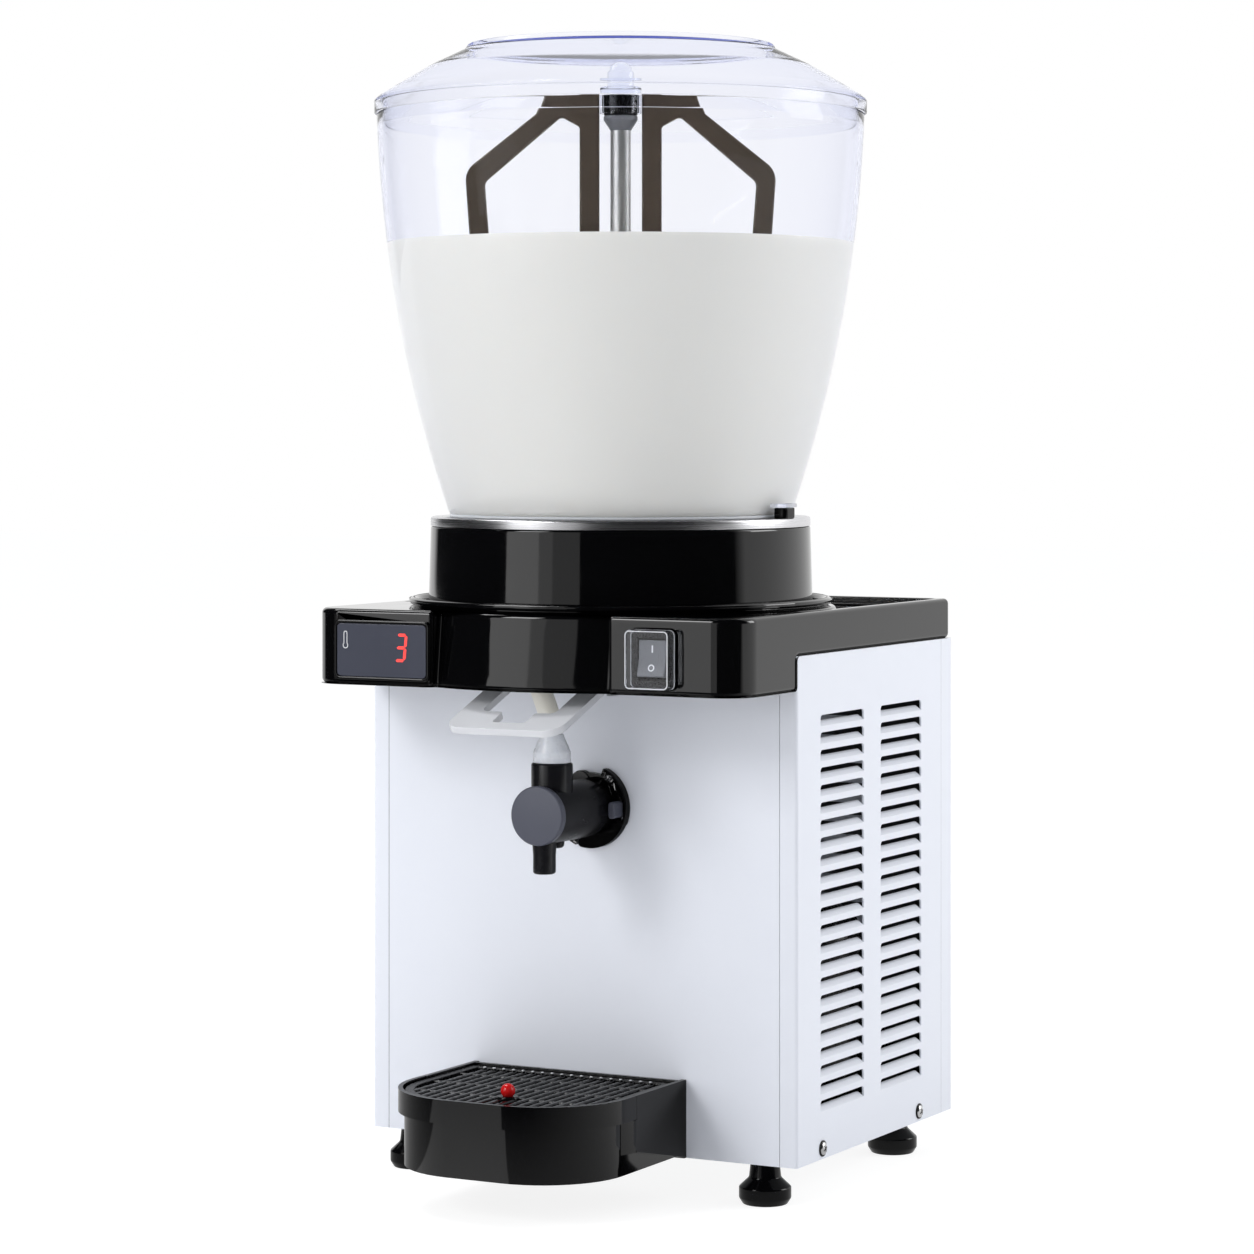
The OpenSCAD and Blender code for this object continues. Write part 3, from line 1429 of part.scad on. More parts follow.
// Levelling foot with a chamfered pad, a neck and a stud
module foot(i) {
    pad_h = 11;
    color([0.08, 0.08, 0.08]) translate(feet_at[i]) rotate_extrude() polygon([[0, 0], [foot_r - 2.5, 0],
        [foot_r, 3], [foot_r, pad_h - 2], [foot_r - 2, pad_h], [foot_neck_r, pad_h], [foot_neck_r, foot_h],
        [stud_r, foot_h], [stud_r, base_top + boss_h - 1], [0, base_top + boss_h - 1]]);
}
module front_left_foot() {
    foot(0);
}
module rear_left_foot() {
    foot(1);
}
module front_right_foot() {
    foot(2);
}
module rear_right_foot() {
    foot(3);
}

base_tray();
corner_uprights();
deck_plate();
front_panel();
left_side_panel();
right_side_panel();
rear_panel();
top_cover();
tank_shell();
steel_tank();
evaporator_coil();
tank_insulation();
bowl_gasket();
locating_posts();
mixer_column();
column_cone();
column_bushes();
mixer_gearmotor();
compressor();
compressor_mounts();
condenser();
fan_shroud();
fan_motor();
filter_drier();
refrigerant_pipes();
thermostat_body();
display_bezel();
display_window();
switch_housing();
switch_cover();
pump_flange();
pump_housing();
pump_front_cap();
pump_motor();
inlet_funnel();
drink_hose();
outlet_elbow();
lever_bracket();
lever_pin();
tray_bracket();
case_screws();
power_gland();
bowl();
lid();
drive_shaft();
drive_coupling();
paddle_hub();
left_paddle();
right_paddle();
tap_lever();
rocker();
drip_tray();
drip_grille();
float();
fan_blades();
pump_impeller();
front_left_foot();
rear_left_foot();
front_right_foot();
rear_right_foot();
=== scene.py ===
"""Looks of a cold drink dispenser with mixer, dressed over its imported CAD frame.

Sizes in the classes are millimetres in the CAD frame, where -Y is the front and +Z is up.
"""

import json
import logging
from dataclasses import dataclass
from enum import Enum
from math import acos, atan2, cos, hypot, pi, radians, sin, sqrt, tan

import bmesh
import bpy
from mathutils import Matrix, Vector


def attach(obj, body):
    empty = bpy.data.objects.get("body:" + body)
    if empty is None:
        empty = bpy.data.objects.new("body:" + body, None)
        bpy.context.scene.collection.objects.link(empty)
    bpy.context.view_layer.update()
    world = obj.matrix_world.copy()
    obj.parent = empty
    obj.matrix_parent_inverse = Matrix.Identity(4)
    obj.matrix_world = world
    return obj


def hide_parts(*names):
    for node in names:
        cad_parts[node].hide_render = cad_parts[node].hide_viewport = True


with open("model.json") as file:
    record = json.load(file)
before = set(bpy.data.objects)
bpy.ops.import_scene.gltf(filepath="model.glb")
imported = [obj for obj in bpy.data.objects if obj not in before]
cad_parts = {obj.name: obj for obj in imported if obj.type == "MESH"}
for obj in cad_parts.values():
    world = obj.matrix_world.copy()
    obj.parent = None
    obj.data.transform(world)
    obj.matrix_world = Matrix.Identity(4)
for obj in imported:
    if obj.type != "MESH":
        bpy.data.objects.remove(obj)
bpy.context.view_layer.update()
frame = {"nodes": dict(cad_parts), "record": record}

LOG = logging.getLogger("dispenser")
MM = 0.001
SIDES = ((1, "right"), (-1, "left"))
NOISE_LOW, NOISE_HIGH = 0.3, 0.7

Point2 = tuple[float, float]
Point3 = tuple[float, float, float]
Colour = tuple[float, float, float]
Thing = bpy.types.Object


class Body(Enum):
    """Bodies of the frame that carry new pieces."""

    CASE = "case"
    BOWL = "bowl"
    LID = "lid"
    MIXER = "mixer"
    LEVER = "lever"
    ROCKER = "rocker"
    TRAY = "tray"
    GRILLE = "grille"


class Look(Enum):
    """Finishes by name: the record's slots first, then those that only the scene has."""

    WHITE_PANEL = "white_panel"
    BLACK_GLOSS = "black_gloss"
    BLACK_MATTE = "black_matte"
    BLACK_RUBBER = "black_rubber"
    BRUSHED_STEEL = "brushed_steel"
    SCREW_STEEL = "screw_steel"
    GALVANISED = "galvanised"
    COPPER = "copper"
    BUSH_BRONZE = "bush_bronze"
    FOAM = "foam"
    GREY_SEAL = "grey_seal"
    GREY_PLASTIC = "grey_plastic"
    MOTOR_GREY = "motor_grey"
    COMPRESSOR_BLACK = "compressor_black"
    FIN_ALUMINIUM = "fin_aluminium"
    DISPLAY_GLASS = "display_glass"
    CLEAR_COVER = "clear_cover"
    CLEAR_BOWL = "clear_bowl"
    PUMP_GREY = "pump_grey"
    MILKY_FUNNEL = "milky_funnel"
    BEIGE_HOSE = "beige_hose"
    WHITE_LEVER = "white_lever"
    PADDLE_BROWN = "paddle_brown"
    FLOAT_RED = "float_red"
    DRINK = "drink"
    DIGIT_RED = "digit_red"
    MARK_AND_HIGHLIGHT_WHITE = "mark_white"
    PUMP_FACE = "pump_face"
    SHEET_BACK_SHADE = "sheet_back"
    GRILLE_GLOSS = "grille_gloss"
    STEM_STEEL = "stem_steel"
    COVER_HIGHLIGHT = "cover_edge"
    CLEAR_LID = "clear_lid"


class Lay(Enum):
    """Plane that an outline is drawn in, and so the way that it is drawn out."""

    FLAT = Matrix(((1, 0, 0, 0), (0, 1, 0, 0), (0, 0, 1, 0), (0, 0, 0, 1)))
    FRONT = Matrix(((1, 0, 0, 0), (0, 0, 1, 0), (0, 1, 0, 0), (0, 0, 0, 1)))
    SIDE = Matrix(((0, 0, 1, 0), (1, 0, 0, 0), (0, 1, 0, 0), (0, 0, 0, 1)))


class Grain(Enum):
    """Pattern that a metal's tone follows."""

    BRUSHED = "brushed"
    SPANGLE = "spangle"


# ---------------------------------------------------------------- finishes


class Board:
    """A material's node tree, with the joins that the finishes share."""

    def __init__(self, name: str) -> None:
        """Starts an empty material of that name."""
        self.material = bpy.data.materials.new(name)
        self.material.use_nodes = True
        self.tree = self.material.node_tree
        self.tree.nodes.clear()
        self.out = self.add("ShaderNodeOutputMaterial")

    def add(self, kind: str, values: dict[str, object] | None = None) -> bpy.types.Node:
        """Adds a node.

        Args:
            kind: the node's type name.
            values: constants for its input sockets, by name.

        Returns:
            The new node.
        """
        node = self.tree.nodes.new(kind)
        for name, value in (values or {}).items():
            node.inputs[name].default_value = value
        return node

    def join(self, source: bpy.types.NodeSocket, target: bpy.types.NodeSocket) -> None:
        """Links an output to an input."""
        self.tree.links.new(source, target)

    def place(self, stretch: Point3) -> bpy.types.NodeSocket:
        """Gives Object coordinates, stretched along each axis."""
        mapping = self.add("ShaderNodeMapping", {"Scale": stretch})
        self.join(self.add("ShaderNodeTexCoord").outputs["Object"], mapping.inputs["Vector"])
        return mapping.outputs["Vector"]

    def noise(self, scale: float, detail: float = 3.0, stretch: Point3 = (1, 1, 1)) -> bpy.types.NodeSocket:
        """Makes cloudy noise.

        Args:
            scale: features per metre.
            detail: octaves.
            stretch: scale along each axis.

        Returns:
            The noise value.
        """
        texture = self.add("ShaderNodeTexNoise", {"Scale": scale, "Detail": detail})
        self.join(self.place(stretch), texture.inputs["Vector"])
        return texture.outputs["Fac"]

    def cells(self, scale: float) -> bpy.types.NodeSocket:
        """Makes crystals of random tone, that many per metre."""
        texture = self.add("ShaderNodeTexVoronoi", {"Scale": scale})
        self.join(self.place((1, 1, 1)), texture.inputs["Vector"])
        return texture.outputs["Color"]

    def tone(self, factor: bpy.types.NodeSocket, first: Colour, second: Colour) -> bpy.types.NodeSocket:
        """Blends two colours by a factor."""
        node = self.tree.nodes.new("ShaderNodeMix")
        node.data_type = "RGBA"
        node.inputs[6].default_value = (*first, 1)
        node.inputs[7].default_value = (*second, 1)
        self.join(factor, node.inputs[0])
        return node.outputs[2]

    def span(self, factor: bpy.types.NodeSocket, low: float, high: float) -> bpy.types.NodeSocket:
        """Spreads the middle of a noise over a range."""
        node = self.add("ShaderNodeMapRange", {
            "From Min": NOISE_LOW, "From Max": NOISE_HIGH, "To Min": low, "To Max": high})
        self.join(factor, node.inputs["Value"])
        return node.outputs["Result"]

    def relief(self, height: bpy.types.NodeSocket, depth: float) -> bpy.types.NodeSocket:
        """Makes a bump of that depth in metres."""
        node = self.add("ShaderNodeBump", {"Strength": 1.0, "Distance": depth})
        self.join(height, node.inputs["Height"])
        return node.outputs["Normal"]

    def surface(self, shader: bpy.types.Node) -> bpy.types.Material:
        """Joins the shader to the output and gives the material."""
        self.join(shader.outputs[0], self.out.inputs["Surface"])
        return self.material


@dataclass(frozen=True)
class Moulding:
    """A moulded or painted surface with faint mottling, uneven gloss and a fine skin."""

    colour: Colour
    shade: Colour
    gloss: tuple[float, float]
    grain: float = 700.0
    relief: float = 0.00002
    level: float = 0.5
    depth: float = 0.0

    def material(self, name: str) -> bpy.types.Material:
        """Builds the material under that name."""
        board = Board(name)
        mottle = board.noise(35.0)
        skin = board.noise(self.grain, 2.0)
        shader = board.add("ShaderNodeBsdfPrincipled", {"Specular IOR Level": self.level})
        if self.depth:
            shader.inputs["Subsurface Weight"].default_value = self.depth
            shader.inputs["Subsurface Radius"].default_value = (1.0, 0.9, 0.8)
            shader.inputs["Subsurface Scale"].default_value = 0.004
        board.join(board.tone(mottle, self.colour, self.shade), shader.inputs["Base Color"])
        board.join(board.span(skin, *self.gloss), shader.inputs["Roughness"])
        board.join(board.relief(skin, self.relief), shader.inputs["Normal"])
        return board.surface(shader)


@dataclass(frozen=True)
class Metal:
    """Bare metal with brush lines or zinc crystals in its tone and gloss."""

    colour: Colour
    shade: Colour
    gloss: tuple[float, float]
    grain: Grain = Grain.BRUSHED
    stretch: Point3 = (4, 4, 500)
    relief: float = 0.000015

    def material(self, name: str) -> bpy.types.Material:
        """Builds the material under that name."""
        board = Board(name)
        lines = board.noise(4.0, 4.0, self.stretch) if self.grain is Grain.BRUSHED else board.cells(220.0)
        shader = board.add("ShaderNodeBsdfPrincipled", {"Metallic": 1.0})
        board.join(board.tone(lines, self.colour, self.shade), shader.inputs["Base Color"])
        board.join(board.span(lines, *self.gloss), shader.inputs["Roughness"])
        board.join(board.relief(lines, self.relief), shader.inputs["Normal"])
        return board.surface(shader)


@dataclass(frozen=True)
class Clear:
    """A see-through moulding that takes on a tint with thickness, under a glossy skin."""

    colour: Colour
    tint: Colour
    density: float
    gloss: tuple[float, float] = (0.0, 0.03)
    bend: float = 1.08
    skin: float = 0.12

    def material(self, name: str) -> bpy.types.Material:
        """Builds the material under that name."""
        board = Board(name)
        skin = board.noise(60.0)
        shader = board.add("ShaderNodeBsdfPrincipled", {
            "Base Color": (*self.colour, 1), "Transmission Weight": 1.0, "IOR": self.bend,
            "Coat Weight": self.skin, "Coat Roughness": 0.02})
        board.join(board.span(skin, *self.gloss), shader.inputs["Roughness"])
        board.join(board.relief(skin, 0.00003), shader.inputs["Normal"])
        volume = board.add("ShaderNodeVolumeAbsorption", {"Color": (*self.tint, 1), "Density": self.density})
        board.join(volume.outputs[0], board.out.inputs["Volume"])
        return board.surface(shader)


@dataclass(frozen=True)
class Glow:
    """A lit mark with a slightly uneven brightness."""

    colour: Colour
    shade: Colour
    strength: float

    def material(self, name: str) -> bpy.types.Material:
        """Builds the material under that name."""
        board = Board(name)
        spots = board.noise(500.0)
        shader = board.add("ShaderNodeBsdfPrincipled", {"Emission Strength": self.strength, "Roughness": 0.4})
        board.join(board.tone(spots, self.colour, self.shade), shader.inputs["Base Color"])
        board.join(board.tone(spots, self.colour, self.shade), shader.inputs["Emission Color"])
        return board.surface(shader)


FINISHES: dict[Look, Moulding | Metal | Clear | Glow] = {
    Look.WHITE_PANEL: Moulding((0.83, 0.855, 0.925), (0.85, 0.875, 0.94), (0.30, 0.40), 1200, 0.000012),
    Look.BLACK_GLOSS: Moulding((0.0010, 0.0010, 0.0013), (0.0018, 0.0018, 0.0022), (0.04, 0.08), 40, 0.00002),
    Look.BLACK_MATTE: Moulding((0.004, 0.004, 0.005), (0.006, 0.006, 0.007), (0.22, 0.32), 900, level=0.4),
    Look.BLACK_RUBBER: Moulding((0.0012, 0.0012, 0.0016), (0.002, 0.002, 0.0025), (0.10, 0.16), 80, 0.00001,
                                level=0.22),
    Look.BRUSHED_STEEL: Metal((0.58, 0.58, 0.60), (0.74, 0.74, 0.76), (0.20, 0.34)),
    Look.SCREW_STEEL: Metal((0.60, 0.60, 0.61), (0.70, 0.70, 0.71), (0.12, 0.22), stretch=(60, 60, 60)),
    Look.GALVANISED: Metal((0.50, 0.52, 0.54), (0.66, 0.68, 0.70), (0.30, 0.48), Grain.SPANGLE),
    Look.COPPER: Metal((0.72, 0.36, 0.20), (0.80, 0.46, 0.30), (0.18, 0.34), stretch=(30, 30, 30)),
    Look.BUSH_BRONZE: Metal((0.50, 0.34, 0.16), (0.62, 0.44, 0.24), (0.30, 0.45), stretch=(80, 80, 80)),
    Look.FOAM: Moulding((0.80, 0.72, 0.44), (0.88, 0.80, 0.54), (0.8, 0.95), 300, 0.0004),
    Look.GREY_SEAL: Moulding((0.66, 0.68, 0.71), (0.74, 0.76, 0.79), (0.35, 0.5), 500),
    Look.GREY_PLASTIC: Moulding((0.105, 0.110, 0.125), (0.125, 0.130, 0.145), (0.26, 0.38), 800),
    Look.MOTOR_GREY: Moulding((0.30, 0.32, 0.35), (0.36, 0.38, 0.41), (0.35, 0.5), 500, 0.00004),
    Look.COMPRESSOR_BLACK: Moulding((0.012, 0.012, 0.012), (0.02, 0.02, 0.02), (0.2, 0.32), 300, 0.00005),
    Look.FIN_ALUMINIUM: Metal((0.62, 0.63, 0.65), (0.74, 0.75, 0.77), (0.25, 0.4), stretch=(60, 4, 4)),
    Look.DISPLAY_GLASS: Moulding((0.052, 0.056, 0.076), (0.060, 0.064, 0.086), (0.10, 0.16), 300, 0.000004,
                                 level=0.3),
    Look.CLEAR_COVER: Clear((0.97, 0.98, 1.0), (0.45, 0.55, 0.95), 12.0, bend=1.15, skin=0.25),
    Look.CLEAR_BOWL: Clear((0.99, 0.992, 1.0), (0.42, 0.50, 0.92), 15.0),
    Look.CLEAR_LID: Clear((0.99, 0.992, 1.0), (0.46, 0.52, 0.84), 20.0, bend=1.05),
    Look.PUMP_GREY: Moulding((0.007, 0.007, 0.009), (0.009, 0.009, 0.011), (0.22, 0.28), 80, 0.000004),
    Look.MILKY_FUNNEL: Moulding((0.72, 0.74, 0.79), (0.78, 0.80, 0.84), (0.22, 0.32), 200, 0.00001,
                                depth=0.5),
    Look.BEIGE_HOSE: Moulding((0.80, 0.78, 0.70), (0.86, 0.84, 0.76), (0.30, 0.42), 500, depth=0.2),
    Look.WHITE_LEVER: Moulding((0.66, 0.67, 0.70), (0.70, 0.71, 0.74), (0.16, 0.24), 500, 0.000008),
    Look.PADDLE_BROWN: Moulding((0.055, 0.042, 0.030), (0.068, 0.052, 0.039), (0.28, 0.38), 600, level=0.35),
    Look.FLOAT_RED: Moulding((0.55, 0.006, 0.008), (0.66, 0.012, 0.012), (0.12, 0.2), 400),
    Look.DRINK: Moulding((0.755, 0.75, 0.695), (0.745, 0.74, 0.685), (0.30, 0.4), 60, 0.00004, depth=0.2),
    Look.DIGIT_RED: Glow((0.85, 0.035, 0.030), (0.92, 0.06, 0.05), 0.65),
    # Pale paint for printed marks, also used on the grille pegs' tips as a painted highlight.
    Look.MARK_AND_HIGHLIGHT_WHITE: Moulding((0.62, 0.63, 0.65), (0.70, 0.71, 0.73), (0.35, 0.5), 900),
    Look.PUMP_FACE: Moulding((0.088, 0.093, 0.120), (0.091, 0.096, 0.124), (0.28, 0.29), 60, 0.0000005),
    # Dark finish on the sheets' inner faces: painted shade inside the case.
    Look.SHEET_BACK_SHADE: Moulding((0.030, 0.031, 0.034), (0.042, 0.043, 0.046), (0.45, 0.6), 700),
    Look.GRILLE_GLOSS: Moulding((0.0015, 0.0015, 0.002), (0.003, 0.003, 0.0035), (0.08, 0.16), 160, 0.0010),
    Look.STEM_STEEL: Metal((0.80, 0.80, 0.79), (0.90, 0.90, 0.89), (0.42, 0.50), stretch=(150, 150, 2),
                           relief=0.000002),
    # Pale loops on the clear cover's edges: painted highlight.
    Look.COVER_HIGHLIGHT: Moulding((0.62, 0.63, 0.66), (0.72, 0.73, 0.76), (0.15, 0.25), 300),
}


class Palette:
    """Builds each finish once."""

    def __init__(self) -> None:
        """Starts with nothing built."""
        self.built: dict[Look, bpy.types.Material] = {}

    def of(self, look: Look) -> bpy.types.Material:
        """Gives the material of a finish."""
        if look not in self.built:
            self.built[look] = FINISHES[look].material(look.value)
        return self.built[look]


PALETTE = Palette()


# ---------------------------------------------------------------- shapes


def rounded(corners: list[tuple[float, float, float]], closed: bool = True, steps: int = 5) -> list[Point2]:
    """Rounds the corners of an outline.

    Args:
        corners: x, y and corner radius of each corner.
        closed: whether the outline runs back to its start.
        steps: points round a corner.

    Returns:
        The outline's points.
    """
    points: list[Point2] = []
    count = len(corners)
    for i, (x, y, radius) in enumerate(corners):
        if radius <= 0 or (not closed and i in (0, count - 1)):
            points.append((x, y))
            continue
        here = Vector((x, y))
        back = (Vector(corners[i - 1][:2]) - here).normalized()
        ahead = (Vector(corners[(i + 1) % count][:2]) - here).normalized()
        half = acos(max(-1.0, min(1.0, back.dot(ahead)))) / 2
        middle = here + (back + ahead).normalized() * radius / sin(half)
        first = here + back * radius / tan(half) - middle
        last = here + ahead * radius / tan(half) - middle
        start = atan2(first.y, first.x)
        sweep = (atan2(last.y, last.x) - start + 3 * pi) % (2 * pi) - pi
        for k in range(steps + 1):
            angle = start + sweep * k / steps
            points.append((middle.x + radius * cos(angle), middle.y + radius * sin(angle)))
    return points


def box_outline(low: Point2, high: Point2, radius: float, steps: int = 5) -> list[Point2]:
    """Outlines a rectangle with equal round corners."""
    return rounded([(low[0], low[1], radius), (high[0], low[1], radius), (high[0], high[1], radius),
                    (low[0], high[1], radius)], True, steps)


def turns(steps: int) -> list[float]:
    """Gives the angles of equal steps round a full turn."""
    return [2 * pi * k / steps for k in range(steps)]


def circle(radius: float, steps: int, centre: Point2 = (0.0, 0.0)) -> list[Point2]:
    """Outlines a circle."""
    return [(centre[0] + radius * cos(a), centre[1] + radius * sin(a)) for a in turns(steps)]


def moved(x: float, y: float, z: float) -> Matrix:
    """Gives a shift in millimetres."""
    return Matrix.Translation((x * MM, y * MM, z * MM))


def finished(name: str, board: bmesh.types.BMesh, outward: bool = True) -> Thing:
    """Turns a bmesh into a linked object at the origin.

    Args:
        name: the object's name.
        board: the bmesh, which is freed.
        outward: whether doubles are merged and faces turned outwards.

    Returns:
        The object.
    """
    if outward:
        bmesh.ops.remove_doubles(board, verts=board.verts[:], dist=1e-7)
        bmesh.ops.recalc_face_normals(board, faces=board.faces[:])
    mesh = bpy.data.meshes.new(name)
    board.to_mesh(mesh)
    board.free()
    thing = bpy.data.objects.new(name, mesh)
    bpy.context.scene.collection.objects.link(thing)
    return thing


def lathe(name: str, profile: list[Point2], closed: bool = False, steps: int = 144,
          place: Matrix | None = None) -> Thing:
    """Turns a profile about the upright axis.

    Args:
        name: the object's name.
        profile: radius and height of each point.
        closed: whether the profile runs back to its start, as a ring's does.
        steps: facets round the axis.
        place: where the turned shape goes.

    Returns:
        The object, shaded smooth.
    """
    board = bmesh.new()
    rings = []
    for radius, height in profile:
        if radius < 1e-6:
            rings.append([board.verts.new((0, 0, height * MM))])
        else:
            rings.append([board.verts.new((radius * MM * cos(a), radius * MM * sin(a), height * MM))
                          for a in turns(steps)])
    pairs = list(zip(rings, rings[1:])) + ([(rings[-1], rings[0])] if closed else [])
    for low, high in pairs:
        for i in range(steps):
            j = (i + 1) % steps
            corners = dict.fromkeys((low[i % len(low)], low[j % len(low)],
                                     high[j % len(high)], high[i % len(high)]))
            if len(corners) > 2:
                board.faces.new(list(corners))
    if place is not None:
        bmesh.ops.transform(board, matrix=place, verts=board.verts[:])
    return smooth(finished(name, board))


def slab(name: str, outline: list[Point2], low: float, high: float, lay: Lay = Lay.FLAT,
         holes: list[list[Point2]] | None = None) -> Thing:
    """Draws an outline out into a plate.

    Args:
        name: the object's name.
        outline: the outer edge.
        low: first face along the drawing-out axis.
        high: second face.
        lay: plane of the outline.
        holes: openings through the plate.

    Returns:
        The object.
    """
    board = bmesh.new()
    edges = []
    for loop in [outline] + (holes or []):
        verts = [board.verts.new((u * MM, v * MM, low * MM)) for u, v in loop]
        edges += [board.edges.new((verts[i - 1], verts[i])) for i in range(len(verts))]
    bmesh.ops.triangle_fill(board, use_beauty=True, edges=edges, normal=(0, 0, 1))
    bmesh.ops.dissolve_limit(board, angle_limit=0.01, verts=board.verts[:], edges=board.edges[:])
    lifted = bmesh.ops.extrude_face_region(board, geom=board.faces[:])["geom"]
    bmesh.ops.translate(board, vec=(0, 0, (high - low) * MM),
                        verts=[item for item in lifted if isinstance(item, bmesh.types.BMVert)])
    bmesh.ops.transform(board, matrix=lay.value, verts=board.verts[:])
    return finished(name, board)


def loft(name: str, rings: list[list[Point3]]) -> Thing:
    """Skins closed rings of equal count and caps both ends.

    Args:
        name: the object's name.
        rings: points of each ring, in order.

    Returns:
        The object, shaded smooth.
    """
    board = bmesh.new()
    rows = [[board.verts.new((x * MM, y * MM, z * MM)) for x, y, z in ring] for ring in rings]
    for low, high in zip(rows, rows[1:]):
        for i in range(len(low)):
            board.faces.new((low[i - 1], low[i], high[i], high[i - 1]))
    board.faces.new(rows[0])
    board.faces.new(rows[-1])
    return smooth(finished(name, board))


def tube(name: str, route: list[Point3], radius: float, steps: int = 32) -> Thing:
    """Runs a round tube along a route.

    Args:
        name: the object's name.
        route: points of its middle line.
        radius: outer radius.
        steps: facets round it.

    Returns:
        The object.
    """
    points = [Vector(point) for point in route]
    rings = []
    for i, point in enumerate(points):
        along = (points[min(i + 1, len(points) - 1)] - points[max(i - 1, 0)]).normalized()
        side = along.cross(Vector((0, 1, 0))).normalized()
        rise = side.cross(along)
        rings.append([tuple(point + radius * (side * cos(a) + rise * sin(a))) for a in turns(steps)])
    return loft(name, rings)


def smooth(thing: Thing, angle: float = 32.0) -> Thing:
    """Shades a piece smooth up to an angle in degrees."""
    thing.data.shade_smooth()
    thing.data.set_sharp_from_angle(angle=radians(angle))
    return thing


def bake(thing: Thing) -> Thing:
    """Applies a piece's modifiers, so that a plain mesh is left."""
    bpy.context.view_layer.update()
    graph = bpy.context.evaluated_depsgraph_get()
    mesh = bpy.data.meshes.new_from_object(
        thing.evaluated_get(graph), preserve_all_data_layers=True, depsgraph=graph)
    thing.modifiers.clear()
    old, thing.data = thing.data, mesh
    bpy.data.meshes.remove(old)
    return thing


def eased(thing: Thing, width: float, segments: int = 3, angle: float = 35.0, clamp: bool = True) -> Thing:
    """Rounds a piece's edges and evens its shading.

    Args:
        thing: the piece.
        width: bevel width.
        segments: facets of the bevel.
        angle: least edge angle that is rounded, in degrees.
        clamp: whether short edges hold the width back.

    Returns:
        The piece.
    """
    thing.data.shade_smooth()
    bevel = thing.modifiers.new("ease", "BEVEL")
    bevel.width = width * MM
    bevel.segments = segments
    bevel.limit_method = "ANGLE"
    bevel.angle_limit = radians(angle)
    bevel.miter_outer = "MITER_ARC"
    bevel.use_clamp_overlap = clamp
    weigh = thing.modifiers.new("shade", "WEIGHTED_NORMAL")
    weigh.keep_sharp = True
    return bake(thing)


def cut(thing: Thing, *tools: Thing) -> Thing:
    """Takes other shapes out of a piece and removes them."""
    for tool in tools:
        modifier = thing.modifiers.new("cut", "BOOLEAN")
        modifier.operation = "DIFFERENCE"
        modifier.solver = "EXACT"
        modifier.object = tool
    bake(thing)
    for tool in tools:
        bpy.data.objects.remove(tool)
    return thing


def copied(node: str, name: str) -> Thing:
    """Copies a CAD node's mesh with its triangles merged into plain faces.

    Args:
        node: the CAD node.
        name: the copy's name.

    Returns:
        The copy.
    """
    board = bmesh.new()
    board.from_mesh(frame["nodes"][node].data)
    bmesh.ops.remove_doubles(board, verts=board.verts[:], dist=1e-6)
    bmesh.ops.dissolve_limit(board, angle_limit=radians(1.0), verts=board.verts[:], edges=board.edges[:])
    return finished(name, board, outward=False)


def merged(name: str, things: list[Thing]) -> Thing:
    """Makes one piece of several."""
    board = bmesh.new()
    for thing in things:
        board.from_mesh(thing.data)
        bpy.data.objects.remove(thing)
    return finished(name, board, outward=False)


def shifted(thing: Thing, place: Matrix) -> Thing:
    """Moves a piece's mesh, not its object."""
    thing.data.transform(place)
    return thing


def seat(thing: Thing, body: Body | str, look: Look, *nodes: str) -> Thing:
    """Gives a piece its finish, its body and the CAD nodes that it stands for.

    Args:
        thing: the finished piece.
        body: the body that carries it.
        look: its finish.
        nodes: CAD nodes that it replaces.

    Returns:
        The piece.
    """
    carrier = body.value if isinstance(body, Body) else body
    thing.data.materials.clear()
    thing.data.materials.append(PALETTE.of(look))
    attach(thing, carrier)
    if nodes:
        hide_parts(*nodes)
    LOG.info("%s in %s on %s", thing.name, look.value, carrier)
    return thing


def seat_copy(node: str, name: str, body: Body, look: Look, ease: float, segments: int = 3,
              clamp: bool = True) -> Thing:
    """Copies a CAD node, rounds its edges and seats the copy in its place.

    Args:
        node: the CAD node.
        name: the copy's name.
        body: the body that carries it.
        look: its finish.
        ease: width of the rounding.
        segments: facets of the rounding.
        clamp: whether short edges hold the width back.

    Returns:
        The piece.
    """
    return seat(eased(copied(node, name), ease, segments, clamp=clamp), body, look, node)


